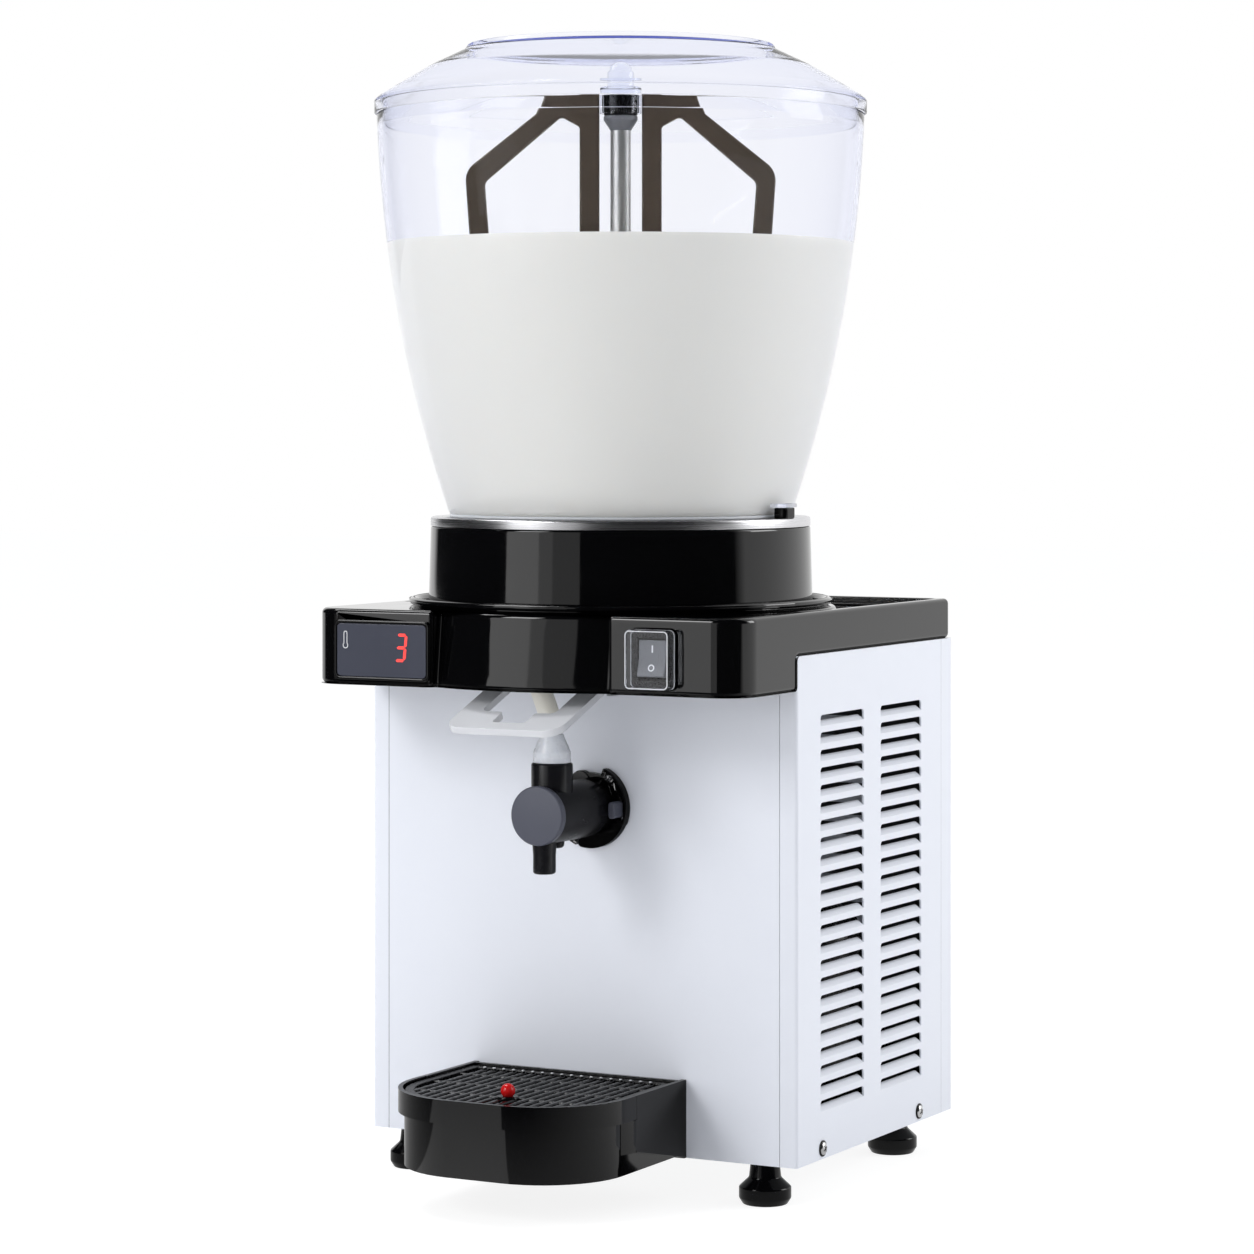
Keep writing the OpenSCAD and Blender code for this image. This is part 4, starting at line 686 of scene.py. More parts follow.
class Repeat:
    """Geometry node trees that repeat a piece's own mesh."""

    def __init__(self) -> None:
        """Builds the trees."""
        self.rows = self.make_rows()
        self.ring = self.make_ring()
        self.bars = self.make_bars()

    @staticmethod
    def start(name: str, inputs: dict[str, str]) -> tuple[bpy.types.NodeTree, bpy.types.Node, bpy.types.Node]:
        """Starts a tree with its named inputs.

        Args:
            name: the tree's name.
            inputs: socket type of each input, by name.

        Returns:
            The tree, its input node and its output node.
        """
        tree = bpy.data.node_groups.new(name, "GeometryNodeTree")
        tree.interface.new_socket("Geometry", in_out="OUTPUT", socket_type="NodeSocketGeometry")
        tree.interface.new_socket("Geometry", in_out="INPUT", socket_type="NodeSocketGeometry")
        for label, kind in inputs.items():
            tree.interface.new_socket(label, in_out="INPUT", socket_type=kind)
        return tree, tree.nodes.new("NodeGroupInput"), tree.nodes.new("NodeGroupOutput")

    @staticmethod
    def end(tree: bpy.types.NodeTree, source: bpy.types.Node, target: bpy.types.Node,
            points: bpy.types.NodeSocket) -> bpy.types.Node:
        """Puts the piece's mesh on points, makes it real and gives it its finish.

        Args:
            tree: the tree.
            source: its input node.
            target: its output node.
            points: the points to fill.

        Returns:
            The node that fills the points.
        """
        fill = tree.nodes.new("GeometryNodeInstanceOnPoints")
        real = tree.nodes.new("GeometryNodeRealizeInstances")
        paint = tree.nodes.new("GeometryNodeSetMaterial")
        tree.links.new(points, fill.inputs["Points"])
        tree.links.new(source.outputs["Geometry"], fill.inputs["Instance"])
        tree.links.new(fill.outputs[0], real.inputs[0])
        tree.links.new(real.outputs[0], paint.inputs["Geometry"])
        tree.links.new(source.outputs["Finish"], paint.inputs["Material"])
        tree.links.new(paint.outputs[0], target.inputs["Geometry"])
        return fill

    @staticmethod
    def line(tree: bpy.types.NodeTree, count: bpy.types.NodeSocket,
             step: bpy.types.NodeSocket | None) -> bpy.types.NodeSocket:
        """Makes a line of points from a count and a step."""
        node = tree.nodes.new("GeometryNodeMeshLine")
        tree.links.new(count, node.inputs["Count"])
        if step is None:
            node.inputs["Offset"].default_value = (0, 0, 0)
        else:
            tree.links.new(step, node.inputs["Offset"])
        return node.outputs[0]

    def make_rows(self) -> bpy.types.NodeTree:
        """Builds the tree that fills rows and columns."""
        tree, source, target = self.start("rows_and_columns", {
            "Rows": "NodeSocketInt", "Row Step": "NodeSocketVector", "Columns": "NodeSocketInt",
            "Column Step": "NodeSocketVector", "Finish": "NodeSocketMaterial"})
        spread = tree.nodes.new("GeometryNodeInstanceOnPoints")
        real = tree.nodes.new("GeometryNodeRealizeInstances")
        for count, step, socket in (("Rows", "Row Step", "Points"), ("Columns", "Column Step", "Instance")):
            points = self.line(tree, source.outputs[count], source.outputs[step])
            tree.links.new(points, spread.inputs[socket])
        tree.links.new(spread.outputs[0], real.inputs[0])
        self.end(tree, source, target, real.outputs[0])
        return tree

    def make_ring(self) -> bpy.types.NodeTree:
        """Builds the tree that turns copies about the upright axis."""
        tree, source, target = self.start("ring", {
            "Count": "NodeSocketInt", "Turn": "NodeSocketFloat", "Finish": "NodeSocketMaterial"})
        fill = self.end(tree, source, target, self.line(tree, source.outputs["Count"], None))
        turn = tree.nodes.new("ShaderNodeMath")
        turn.operation = "MULTIPLY"
        angles = tree.nodes.new("ShaderNodeCombineXYZ")
        tree.links.new(tree.nodes.new("GeometryNodeInputIndex").outputs[0], turn.inputs[0])
        tree.links.new(source.outputs["Turn"], turn.inputs[1])
        tree.links.new(turn.outputs[0], angles.inputs["Z"])
        tree.links.new(angles.outputs[0], fill.inputs["Rotation"])
        return tree

    def make_bars(self) -> bpy.types.NodeTree:
        """Builds the tree that lays unit bars back from a front edge with round corners."""
        tree, source, target = self.start("bars", {
            "Count": "NodeSocketInt", "First": "NodeSocketVector", "Step": "NodeSocketVector",
            "Length": "NodeSocketFloat", "Straight": "NodeSocketFloat", "Corner": "NodeSocketFloat",
            "Finish": "NodeSocketMaterial"})

        def maths(kind: str, first: object, second: object) -> bpy.types.NodeSocket:
            """Adds a sum of two sockets or numbers."""
            node = tree.nodes.new("ShaderNodeMath")
            node.operation = kind
            for socket, value in zip(node.inputs, (first, second)):
                if isinstance(value, float):
                    socket.default_value = value
                else:
                    tree.links.new(value, socket)
            return node.outputs[0]

        row = tree.nodes.new("GeometryNodeMeshLine")
        for name, socket in (("Count", "Count"), ("Start Location", "First"), ("Offset", "Step")):
            tree.links.new(source.outputs[socket], row.inputs[name])
        fill = self.end(tree, source, target, row.outputs[0])
        split = tree.nodes.new("ShaderNodeSeparateXYZ")
        tree.links.new(tree.nodes.new("GeometryNodeInputPosition").outputs[0], split.inputs[0])
        corner = source.outputs["Corner"]
        past = maths("MAXIMUM", maths("SUBTRACT", maths("ABSOLUTE", split.outputs["X"], 0.0),
                                      source.outputs["Straight"]), 0.0)
        inside = maths("SUBTRACT", maths("MULTIPLY", corner, corner), maths("MULTIPLY", past, past))
        lost = maths("SUBTRACT", corner, maths("SQRT", inside, 0.0))
        size = tree.nodes.new("ShaderNodeCombineXYZ")
        size.inputs["X"].default_value = size.inputs["Z"].default_value = 1.0
        tree.links.new(maths("SUBTRACT", source.outputs["Length"], lost), size.inputs["Y"])
        tree.links.new(size.outputs[0], fill.inputs["Scale"])
        return tree


REPEAT = Repeat()


def grown(thing: Thing, tree: bpy.types.NodeTree, look: Look, inputs: dict[str, object]) -> Thing:
    """Repeats a piece through a node tree and leaves a plain mesh.

    Args:
        thing: the piece that is repeated.
        tree: the node tree.
        look: the finish.
        inputs: values for the tree's named inputs.

    Returns:
        The piece.
    """
    modifier = thing.modifiers.new("repeat", "NODES")
    modifier.node_group = tree
    values = {**inputs, "Finish": PALETTE.of(look)}
    for item in tree.interface.items_tree:
        if item.item_type == "SOCKET" and item.in_out == "INPUT" and item.name in values:
            modifier[item.identifier] = values[item.name]
    return bake(thing)


def screw_head(name: str, radius: float, height: float) -> Thing:
    """Makes a domed screw head with a cross recess, standing on the floor plane.

    Args:
        name: the object's name.
        radius: head radius.
        height: head height.

    Returns:
        The object.
    """
    dome = [(radius, 0), (radius, height * 0.3)]
    dome += [(radius * cos(a), height * (0.3 + 0.7 * sin(a))) for a in (pi / 2 * k / 6 for k in range(1, 6))]
    head = lathe(name, [(0, 0)] + dome + [(0, height)], steps=28)
    arm, half = radius * 0.62, radius * 0.13
    cross = [slab("cross", [(-a, -b), (a, -b), (a, b), (-a, b)], height * 0.35, height * 2)
             for a, b in ((arm, half), (half, arm))]
    return smooth(cut(head, *cross), 30)


# ---------------------------------------------------------------- sub-assemblies


@dataclass
class Case:
    """White sheet case: louvred sides, screws and feet."""

    half: float = 160.0
    front: float = -58.0
    seam: float = 171.8
    low: float = 26.0
    top: float = 355.0
    sheet: float = 1.2
    bend: float = 2.2
    wrap: float = 12.3
    columns: tuple[Point2, Point2] = ((-23.0, 44.0), (71.0, 138.0))
    rows: int = 23
    row_low: float = 57.0
    pitch: float = 11.4
    window: float = 7.2
    slit: float = 3.9
    flap_in: float = 3.6
    flap_gap: float = 0.2
    flap_run: float = 1.2
    window_corner: float = 2.6
    screw_y: tuple[float, float] = (-20.0, 134.0)
    screw_z: float = 33.0
    screw_head: Point2 = (4.3, 2.4)
    # Black ring under each side screw: painted shade round its head.
    shade_ring: Point3 = (3.6, 5.3, 0.9)
    foot_x: float = 132.4
    foot_y: Point2 = (-48.4, 151.0)
    rear_y: float = 189.0
    rear_slot: Point2 = (-106.0, 139.0)
    rear_slot_w: float = 96.0
    rear_slot_h: float = 4.0
    rear_gap: float = 20.0
    rear_pitch: float = 14.0
    rear_rows: int = 12
    rear_flap_in: float = 3.5
    # Place of a black sheet just inside the left louvres: painted shade for the case's dark inside.
    shade_sheet_x: Point2 = (-153.9, -153.1)
    shade_sheet_y: Point2 = (-40.0, 154.0)
    shade_sheet_z: Point2 = (36.0, 338.0)

    def windows(self) -> list[list[Point2]]:
        """Outlines every louvre window in the side's plane.

        Returns:
            One outline for each window.
        """
        found = []
        for start, end in self.columns:
            for row in range(self.rows):
                low = self.row_low + self.pitch * row
                high, turn = low + self.window, self.window_corner
                found.append(rounded([(start, low, 0), (end, low, 0), (end, high, turn),
                                      (start, high, turn)], True, 3))
        return found

    def side(self, sign: int) -> Thing:
        """Builds a side sheet with its windows, front bend and front flange.

        Args:
            sign: 1 for the right side, -1 for the left.

        Returns:
            The sheet.
        """
        x, inner = self.half, self.half - self.sheet
        face = slab("side_face", [(self.front + self.bend, self.low), (self.seam, self.low),
                                  (self.seam, self.top), (self.front + self.bend, self.top)],
                    inner, x, Lay.SIDE, self.windows())
        arc = [(self.half - self.bend + self.bend * sin(a), self.front + self.bend - self.bend * cos(a))
               for a in (pi / 2 * k / 6 for k in range(7))]
        tight = self.bend - self.sheet
        back = [(self.half - self.bend + tight * sin(a), self.front + self.bend - tight * cos(a))
                for a in (pi / 2 * k / 6 for k in range(6, -1, -1))]
        start = self.half - self.wrap
        fold = slab("side_fold", [(start, self.front)] + arc + back + [(start, self.front + self.sheet)],
                    self.low, self.top)
        panel = smooth(merged("side_sheet", [face, fold]), 40)
        return shifted(panel, Matrix.Diagonal((sign, 1, 1, 1)))

    def flaps(self, sign: int) -> Thing:
        """Builds the pressed-in flaps of a side's louvres.

        Args:
            sign: 1 for the right side, -1 for the left.

        Returns:
            All flaps of that side.
        """
        (start, end), (second, _) = self.columns
        rise = self.window - self.slit
        rings = []
        for k in range(4):
            depth, z, run = self.flap_in * k / 3, self.row_low + rise * k / 3, self.flap_run * k / 3
            x = sign * (self.half - depth)
            back = x - sign * self.sheet
            y0, y1 = start + self.flap_gap + run, end - self.flap_gap - run
            rings.append([(x, y0, z), (x, y1, z), (back, y1, z), (back, y0, z)])
        flap = smooth(loft("louvre_flaps", rings), 50)
        return grown(flap, REPEAT.rows, Look.WHITE_PANEL, {
            "Rows": self.rows, "Row Step": (0, 0, self.pitch * MM),
            "Columns": 2, "Column Step": (0, (second - start) * MM, 0)})

    def paint_back_shade(self, panel: Thing, outward: Point3) -> None:
        """Paints the faces on the inner side of a sheet dark, as painted shade inside the case.

        Args:
            panel: the seated sheet.
            outward: the way that its outer side faces.
        """
        panel.data.materials.append(PALETTE.of(Look.SHEET_BACK_SHADE))
        for face in panel.data.polygons:
            face.material_index = 1 if face.normal.dot(Vector(outward)) < -0.5 else 0

    def rear(self) -> None:
        """Builds and seats the rear sheet and the flaps of its air slots."""
        sheet = copied("rear_panel", "rear_sheet")
        seat(smooth(sheet, 30), Body.CASE, Look.WHITE_PANEL, "rear_panel")
        # The rear sheet's inner faces get painted shade.
        self.paint_back_shade(sheet, (0, 1, 0))
        (x0, z0), y = self.rear_slot, self.rear_y
        low, high, tip = z0 - 0.6, z0 + self.rear_slot_h + 1.0, y - self.rear_flap_in
        outline = [(y, low), (tip, high), (tip - 0.9, high), (y - self.sheet, low)]
        flap = slab("rear_flaps", outline, x0, x0 + self.rear_slot_w, Lay.SIDE)
        grown(flap, REPEAT.rows, Look.WHITE_PANEL, {
            "Rows": self.rear_rows, "Row Step": (0, 0, self.rear_pitch * MM),
            "Columns": 2, "Column Step": ((self.rear_slot_w + self.rear_gap) * MM, 0, 0)})
        seat(flap, Body.CASE, Look.WHITE_PANEL)

    def screws(self) -> None:
        """Builds and seats the four side screws and a black ring under each, painted shade round their heads.
        """
        first, second = self.screw_y
        inner, outer, thick = self.shade_ring
        ring = rounded([(inner, 0, 0), (outer, 0, 0), (outer, thick, 0.5), (inner, thick, 0)], True, 3)
        pair = {"Rows": 2, "Row Step": (0, (second - first) * MM, 0), "Columns": 1, "Column Step": (0, 0, 0)}
        for sign, side in SIDES:
            turn = Matrix.Rotation(sign * pi / 2, 4, "Y") @ Matrix.Rotation(0.5, 4, "Z")
            place = moved(sign * self.half, first, self.screw_z) @ turn
            head = shifted(screw_head(f"side_screws_{side}", *self.screw_head), place)
            grown(head, REPEAT.rows, Look.SCREW_STEEL, pair)
            seat(head, Body.CASE, Look.SCREW_STEEL, *(("case_screws",) if sign > 0 else ()))
            # Black rings under the screw heads: painted shade round each head.
            shade_ring = lathe(f"side_screw_shade_rings_{side}", ring, True, 28, place)
            grown(shade_ring, REPEAT.rows, Look.BLACK_RUBBER, pair)
            seat(shade_ring, Body.CASE, Look.BLACK_RUBBER)

    def feet(self) -> None:
        """Builds and seats the four levelling feet."""
        profile = [(0, 0)] + rounded([(0, 0, 0), (14.5, 0, 1.0), (17, 4.0, 2.0), (17, 11, 1.6),
                                      (10.5, 17, 3.0), (9.5, 26, 0), (0, 26, 0)], False, 4)[1:]
        for end, y in zip(("front", "rear"), self.foot_y):
            for sign, side in reversed(SIDES):
                name = f"{end}_{side}_foot"
                foot = lathe(f"{name}_pad", profile, steps=72, place=moved(sign * self.foot_x, y, 0))
                seat(foot, name, Look.BLACK_RUBBER, name)

    def build(self) -> None:
        """Builds and seats the case's pieces."""
        for sign, side in SIDES:
            panel = self.side(sign)
            panel.name = f"{side}_side_sheet"
            if sign < 0:
                panel.data.flip_normals()
            seat(panel, Body.CASE, Look.WHITE_PANEL, f"{side}_side_panel")
            self.paint_back_shade(panel, (sign, 0, 0))
            flaps = self.flaps(sign)
            flaps.name = f"{side}_louvre_flaps"
            seat(flaps, Body.CASE, Look.WHITE_PANEL)
        # A black sheet behind the left louvres: painted shade for the dark inside seen through them.
        (y0, y1), (z0, z1) = self.shade_sheet_y, self.shade_sheet_z
        screen = slab("shade_sheet", [(y0, z0), (y1, z0), (y1, z1), (y0, z1)], *self.shade_sheet_x, Lay.SIDE)
        seat(screen, Body.CASE, Look.BLACK_MATTE)
        self.rear()
        self.screws()
        self.feet()


@dataclass
class TopCover:
    """Gloss black cover with its two front boxes and the drum round the tank."""

    ease: float = 3.4

    def build(self) -> None:
        """Builds and seats the cover."""
        seat_copy("top_cover", "cover_moulding", Body.CASE, Look.BLACK_GLOSS, self.ease, 4, clamp=False)


@dataclass
class Tank:
    """Black shell, steel flange and gasket under the bowl."""

    shell_low: Point2 = (130.4, 350.0)
    shell_top: Point2 = (127.9, 436.0)
    shell_wall: float = 3.0
    flange_top: float = 442.0
    flange: float = 1.2
    steel: float = 1.0
    bore: float = 7.4
    well: float = 105.0
    well_low: float = 380.0
    gasket: Point2 = (108.0, 115.2)
    gasket_top: float = 444.0

    def build(self) -> None:
        """Builds and seats the tank's pieces."""
        (low_r, low_z), (top_r, top_z), band = self.shell_low, self.shell_top, self.shell_wall
        near, brim = band / (top_z - low_z), top_z - 0.3
        shell = rounded([(low_r - band, low_z, 0), (low_r, low_z, 0),
                         (top_r + (low_r - top_r) * near, top_z - band, 0), (top_r, brim, 1.2),
                         (top_r - band, brim, 0)], True, 4)
        seat(lathe("tank_jacket", shell, True), Body.CASE, Look.BLACK_GLOSS, "tank_shell")
        flat, floor, well, steel = self.flange_top, self.well_low, self.well, self.steel
        under = flat - self.flange
        ring = rounded([(self.bore, floor, 0), (self.bore, floor - steel, 0),
                        (well + steel, floor - steel, 0),
                        (well + steel, under, 0), (top_r - steel, under, 0), (top_r - steel, top_z, 0),
                        (top_r, top_z, 0), (top_r, flat, 1.4), (well, flat, 1.5), (well, floor, 0)], True, 4)
        seat(lathe("steel_flange_ring", ring, True), Body.CASE, Look.BRUSHED_STEEL, "steel_tank")
        (inner, outer), top = self.gasket, self.gasket_top
        seal = rounded([(inner, flat, 0.3), (outer, flat, 0.8), (outer, top, 0.8),
                        (inner, top, 0.3)], True, 3)
        seat(lathe("bowl_seal", seal, True), Body.CASE, Look.GREY_SEAL, "bowl_gasket")
        seat_copy("locating_posts", "bowl_posts", Body.CASE, Look.BLACK_RUBBER, 0.8)


@dataclass
class Bowl:
    """Clear bowl with the drink inside."""

    foot: Point2 = (115.4, 444.0)
    brim: Point2 = (164.3, 713.0)
    curve: float = 930.0
    wall: float = 3.5
    drink_top: float = 626.5
    drink_fill: float = 0.25
    lug_z: Point2 = (449.2, 451.8)
    lug_width: float = 22.0
    lug_reach: float = 128.0
    lug_corner: float = 4.0

    def radius(self, height: float, inset: float = 0.0) -> float:
        """Gives the bowl's outer radius at a height.

        Args:
            height: height above the floor.
            inset: how far inside the outer surface.

        Returns:
            The radius.
        """
        dx, dz = self.brim[0] - self.foot[0], self.brim[1] - self.foot[1]
        chord = hypot(dx, dz)
        angle = atan2(dz, dx) + acos(chord / 2 / self.curve)
        cx, cz = self.foot[0] + self.curve * cos(angle), self.foot[1] + self.curve * sin(angle)
        return cx + sqrt((self.curve - inset) ** 2 - (height - cz) ** 2)

    def heights(self, low: float, high: float, count: int = 24) -> list[float]:
        """Gives evenly spaced heights."""
        return [low + (high - low) * k / count for k in range(count + 1)]

    def lug(self, sign: int) -> Thing:
        """Builds the lug that sits over a locating post, on the right for sign 1 and on the left for -1."""
        low, high = self.lug_z
        half = self.lug_width / 2
        start = self.radius(high) + 0.05
        arc = [(sqrt(start ** 2 - y ** 2), y) for y in (half - self.lug_width * k / 8 for k in range(9))]
        reach, turn = self.lug_reach, self.lug_corner
        ends = rounded([(*arc[-1], 0), (reach, -half, turn), (reach, half, turn), (*arc[0], 0)], False, 5)
        lug = eased(slab("bowl_lug", ends + arc[1:-1], low, high), 0.6)
        return shifted(lug, Matrix.Rotation(0 if sign > 0 else pi, 4, "Z"))

    def build(self) -> None:
        """Builds and seats the bowl and the drink."""
        low, high = self.foot[1], self.brim[1]
        outer = [(self.radius(z), z) for z in self.heights(low + 2.2, high - 0.8)]
        inner = [(self.radius(z, self.wall), z) for z in reversed(self.heights(low, high - 0.8))]
        foot = [(self.radius(low) - 0.6, low), (self.radius(low), low + 0.6),
                (self.radius(low + 1.6), low + 1.6)]
        edge, back = self.brim[0], self.brim[0] - self.wall
        brim = [(edge - 0.5, high - 0.2), (edge - 1.4, high), (back + 1.2, high), (back + 0.3, high - 0.3)]
        wall = lathe("bowl_wall", foot + outer + brim + inner, True, 192)
        whole = smooth(merged("clear_bowl_wall", [wall, self.lug(1), self.lug(-1)]))
        seat(whole, Body.BOWL, Look.CLEAR_BOWL, "bowl")

        start, level = low + 0.2, self.drink_top - 1.2
        side = [(self.radius(z, self.wall - self.drink_fill), z) for z in self.heights(start, level)]
        edge = side[-1][0]
        top = [(edge, self.drink_top), (edge - 1.5, self.drink_top - 0.9), (edge - 5, level), (0, level)]
        drink = lathe("chilled_drink", [(0, start)] + side + top, False, 192)
        seat(drink, Body.BOWL, Look.DRINK)


@dataclass
class Lid:
    """Clear domed lid with a rim roll and a cap ring."""

    rim: float = 165.9
    rim_low: float = 713.0
    rim_top: float = 724.0
    lip: float = 160.2
    lip_low: float = 705.0
    shoulder: Point2 = (153.5, 730.0)
    cap: Point2 = (103.9, 756.0)
    ring_top: float = 759.0
    skirt_wall: float = 1.8
    wall: float = 2.5

    def build(self) -> None:
        """Builds and seats the lid."""
        (sr, sz), (cr, cz), w = self.shoulder, self.cap, self.wall
        middle = ((sr + cr) / 2, (sz + cz) / 2 + 1.6)
        under = ((sr + cr) / 2 - 1.0, (sz + cz) / 2 + 1.6 - w)
        skirt, inner = self.rim - self.skirt_wall, self.lip - self.skirt_wall
        corners = [
            (0, cz, 0), (cr - 4.5, cz, 1.2), (cr - 3.5, self.ring_top, 0.8), (cr - 0.5, self.ring_top, 1.0),
            (cr + 1.5, cz - 0.3, 1.5), (*middle, 40), (sr, sz, 6), (self.rim - 3, self.rim_top, 2.5),
            (self.rim, self.rim_top - 2.5, 2.0), (self.rim, self.rim_low, 0.7), (skirt, self.rim_low, 0.7),
            (skirt, self.rim_top - 3.5, 1.0), (self.lip, self.rim_top - 3.0, 1.0),
            (self.lip, self.lip_low, 0.7), (inner, self.lip_low, 0.7), (inner, self.rim_top - 1.0, 1.5),
            (sr - 1.2, sz - w, 5), (*under, 40), (cr - 1, cz - w, 2), (0, cz - w, 0)]
        seat(lathe("clear_lid", rounded(corners, False, 6), False, 192), Body.LID, Look.CLEAR_LID, "lid")


@dataclass
class Mixer:
    """Steel column with its cone, coupling, clear hub and two paddles."""

    column: float = 7.0
    column_z: Point2 = (358.0, 702.0)
    cone: float = 11.5
    cone_top: float = 712.0
    collar: float = 14.0
    collar_z: Point2 = (379.9, 383.0)

    def build(self) -> None:
        """Builds and seats the mixer's pieces."""
        low, high = self.column_z
        foot, top = self.collar_z
        stem = [(self.column, low), (self.column, foot - 0.1), (self.collar, foot), (self.collar, top),
                (self.column, top + 0.1), (self.column, high)]
        column = lathe("steel_stem", [(0, low)] + stem + [(0, high)], False, 64)
        seat(column, Body.CASE, Look.STEM_STEEL, "mixer_column")
        cone = rounded([(0, high, 0), (self.column, high, 0.4), (self.cone, self.cone_top - 3, 2),
                        (self.cone, self.cone_top, 0.8), (0, self.cone_top, 0)], False, 4)
        seat(lathe("stem_cone", cone, False, 64), Body.CASE, Look.GREY_PLASTIC, "column_cone")
        seat_copy("drive_coupling", "coupling_block", Body.MIXER, Look.BLACK_MATTE, 0.8)
        seat_copy("paddle_hub", "clear_hub", Body.MIXER, Look.CLEAR_COVER, 0.8)
        for side in ("left", "right"):
            seat_copy(f"{side}_paddle", f"{side}_paddle_blade", Body.MIXER, Look.PADDLE_BROWN, 1.6)


@dataclass
class Tap:
    """Pump flange, housing, front cap, funnel, hose and lever."""

    axis: Point2 = (10.5, 252.0)
    body: float = 19.2
    flange_y: Point2 = (-63.0, -58.0)
    body_front: float = -129.0
    neck: float = 16.5
    neck_y: float = -71.5
    cap_front: float = -133.6
    inlet_y: float = -113.0
    spout_y: float = -123.0
    spout_low: float = 214.0
    inlet: float = 13.5
    inlet_z: Point2 = (258.0, 285.0)
    spout: Point3 = (8.6, 7.4, 5.2)
    spout_z: Point2 = (245.0, 226.0)
    spout_bore: float = 12.0
    heel: Point2 = (4.4, 5.0)
    heel_z: Point2 = (229.0, 240.0)
    heel_back: float = 17.0
    chamfer: float = 0.9
    funnel: Point2 = (12.2, 7.4)
    funnel_wall: float = 2.0
    funnel_z: Point3 = (285.2, 292.0, 303.5)
    hose: float = 7.0
    hose_top: Point3 = (0.0, -114.0, 346.0)
    hose_end: float = 303.9
    screw: Point2 = (3.0, 2.2)
    screw_ring: float = 24.25
    screw_turn: float = 51.0
    ear: Point3 = (7.5, 17.5, 112.0)
    knob_x: Point2 = (20.2, 25.0)
    knob_z: Point2 = (-6.0, 5.0)
    knob_out: float = 12.0

    def along(self) -> Matrix:
        """Gives the place of a shape turned about the pump's axis, whose height runs to the rear."""
        return moved(self.axis[0], 0, self.axis[1]) @ Matrix.Rotation(-pi / 2, 4, "X")

    def housing(self) -> Thing:
        """Builds the pump body with its inlet and spout.

        Returns:
            The housing.
        """
        x = self.axis[0]
        front, step, rear = self.body_front, self.neck_y, self.flange_y[0]
        barrel = rounded([(0, front, 0), (self.body, front, 0.3), (self.body, step, 1.5),
                          (self.neck, step + 1, 0), (self.neck, rear, 0), (0, rear, 0)], False, 5)
        low, high = self.inlet_z
        inlet = rounded([(0, low, 0), (self.inlet, low, 0), (self.inlet, high, 1.5), (0, high, 0)], False, 4)
        (root, end, bore), (top, waist), mouth = self.spout, self.spout_z, self.spout_low
        inside = mouth + self.spout_bore
        spout = rounded([(0, top, 0), (root, top, 0), (end, waist, 6), (end, mouth, 1.8), (bore, mouth, 0.6),
                         (bore, inside, 0), (0, inside, 0)], False, 4)
        (toe, neck), (low, high) = self.heel, self.heel_z
        heel = rounded([(0, low, 0), (toe, low, 2.5), (neck, high, 0), (0, high, 0)], False, 4)
        return smooth(merged("pump_body", [
            lathe("barrel", barrel, False, 96, self.along()),
            lathe("inlet", inlet, False, 64, moved(x, self.inlet_y, 0)),
            lathe("spout", spout, False, 64, moved(x, self.spout_y, 0)),
            lathe("heel", heel, False, 40, moved(x, self.spout_y + self.heel_back, 0))]))

    def front_cap(self) -> Thing:
        """Builds the front disc with its bright chamfer.

        Returns:
            The cap.
        """
        rim, front, cut_in = self.body, self.cap_front, self.chamfer
        cap = rounded([(0, front, 0), (rim - cut_in, front, 0.3), (rim, front + cut_in, 0.3),
                       (rim, self.body_front, 0), (0, self.body_front, 0)], False, 4)
        return lathe("pump_face_cap", cap, False, 96, self.along())

    def route(self) -> list[Point3]:
        """Gives the hose's middle line from the cover to the funnel.

        Returns:
            The route's points.
        """
        first, last = Vector(self.hose_top), Vector((self.axis[0], self.inlet_y, self.hose_end))
        points = []
        for k in range(17):
            t = k / 16
            ease = t * t * (3 - 2 * t)
            points.append((first.x + (last.x - first.x) * ease, first.y + (last.y - first.y) * ease,
                           first.z + (last.z - first.z) * t))
        return points

    def screws(self) -> None:
        """Builds and seats the flange's screws."""
        head = screw_head("flange_screws", *self.screw)
        shifted(head, moved(self.screw_ring, 0, 0))
        grown(head, REPEAT.ring, Look.SCREW_STEEL, {"Count": 2, "Turn": pi})
        place = moved(self.axis[0], self.flange_y[0] - 0.2, self.axis[1]) @ Matrix.Rotation(pi / 2, 4, "X")
        shifted(head, place @ Matrix.Rotation(radians(self.screw_turn), 4, "Z"))
        seat(head, Body.CASE, Look.SCREW_STEEL)

    def latch(self) -> Thing:
        """Builds the flange's raised lip, its upper lug and its lower rim.

        Returns:
            All as one piece.
        """

        def sector(name: str, span: tuple[int, int], radii: Point2, turn: float, proud: float) -> Thing:
            """Builds a sector of the flange's rim between two angles, with rounded ends."""
            (start, end), (inner, outer) = span, radii
            sweep = [(outer, a) for a in range(start, end + 1, 5)]
            sweep += [(inner, a) for a in range(end, start - 1, -5)]
            arc = [(x + r * cos(radians(a)), z + r * sin(radians(a)), turn if a in span else 0.0)
                   for r, a in sweep]
            return eased(slab(name, rounded(arc), front - proud, back - 0.1, Lay.FRONT), 0.7)

        (x, z), (front, back) = self.axis, self.flange_y
        radius, out, up = self.ear
        ear = Vector((x + out * cos(radians(up)), z + out * sin(radians(up))))
        ring = circle(radius, 32, tuple(ear))
        lug = eased(slab("lug", ring, front - 0.8, back - 0.1, Lay.FRONT), 0.9)
        lip = sector("lip", (-24, 66), (26.2, 28.2), 0.9, 1.4)
        return merged("flange_latch", [lug, lip, sector("rim", (-109, -19), (19.0, 27.4), 2.6, 0.3)])

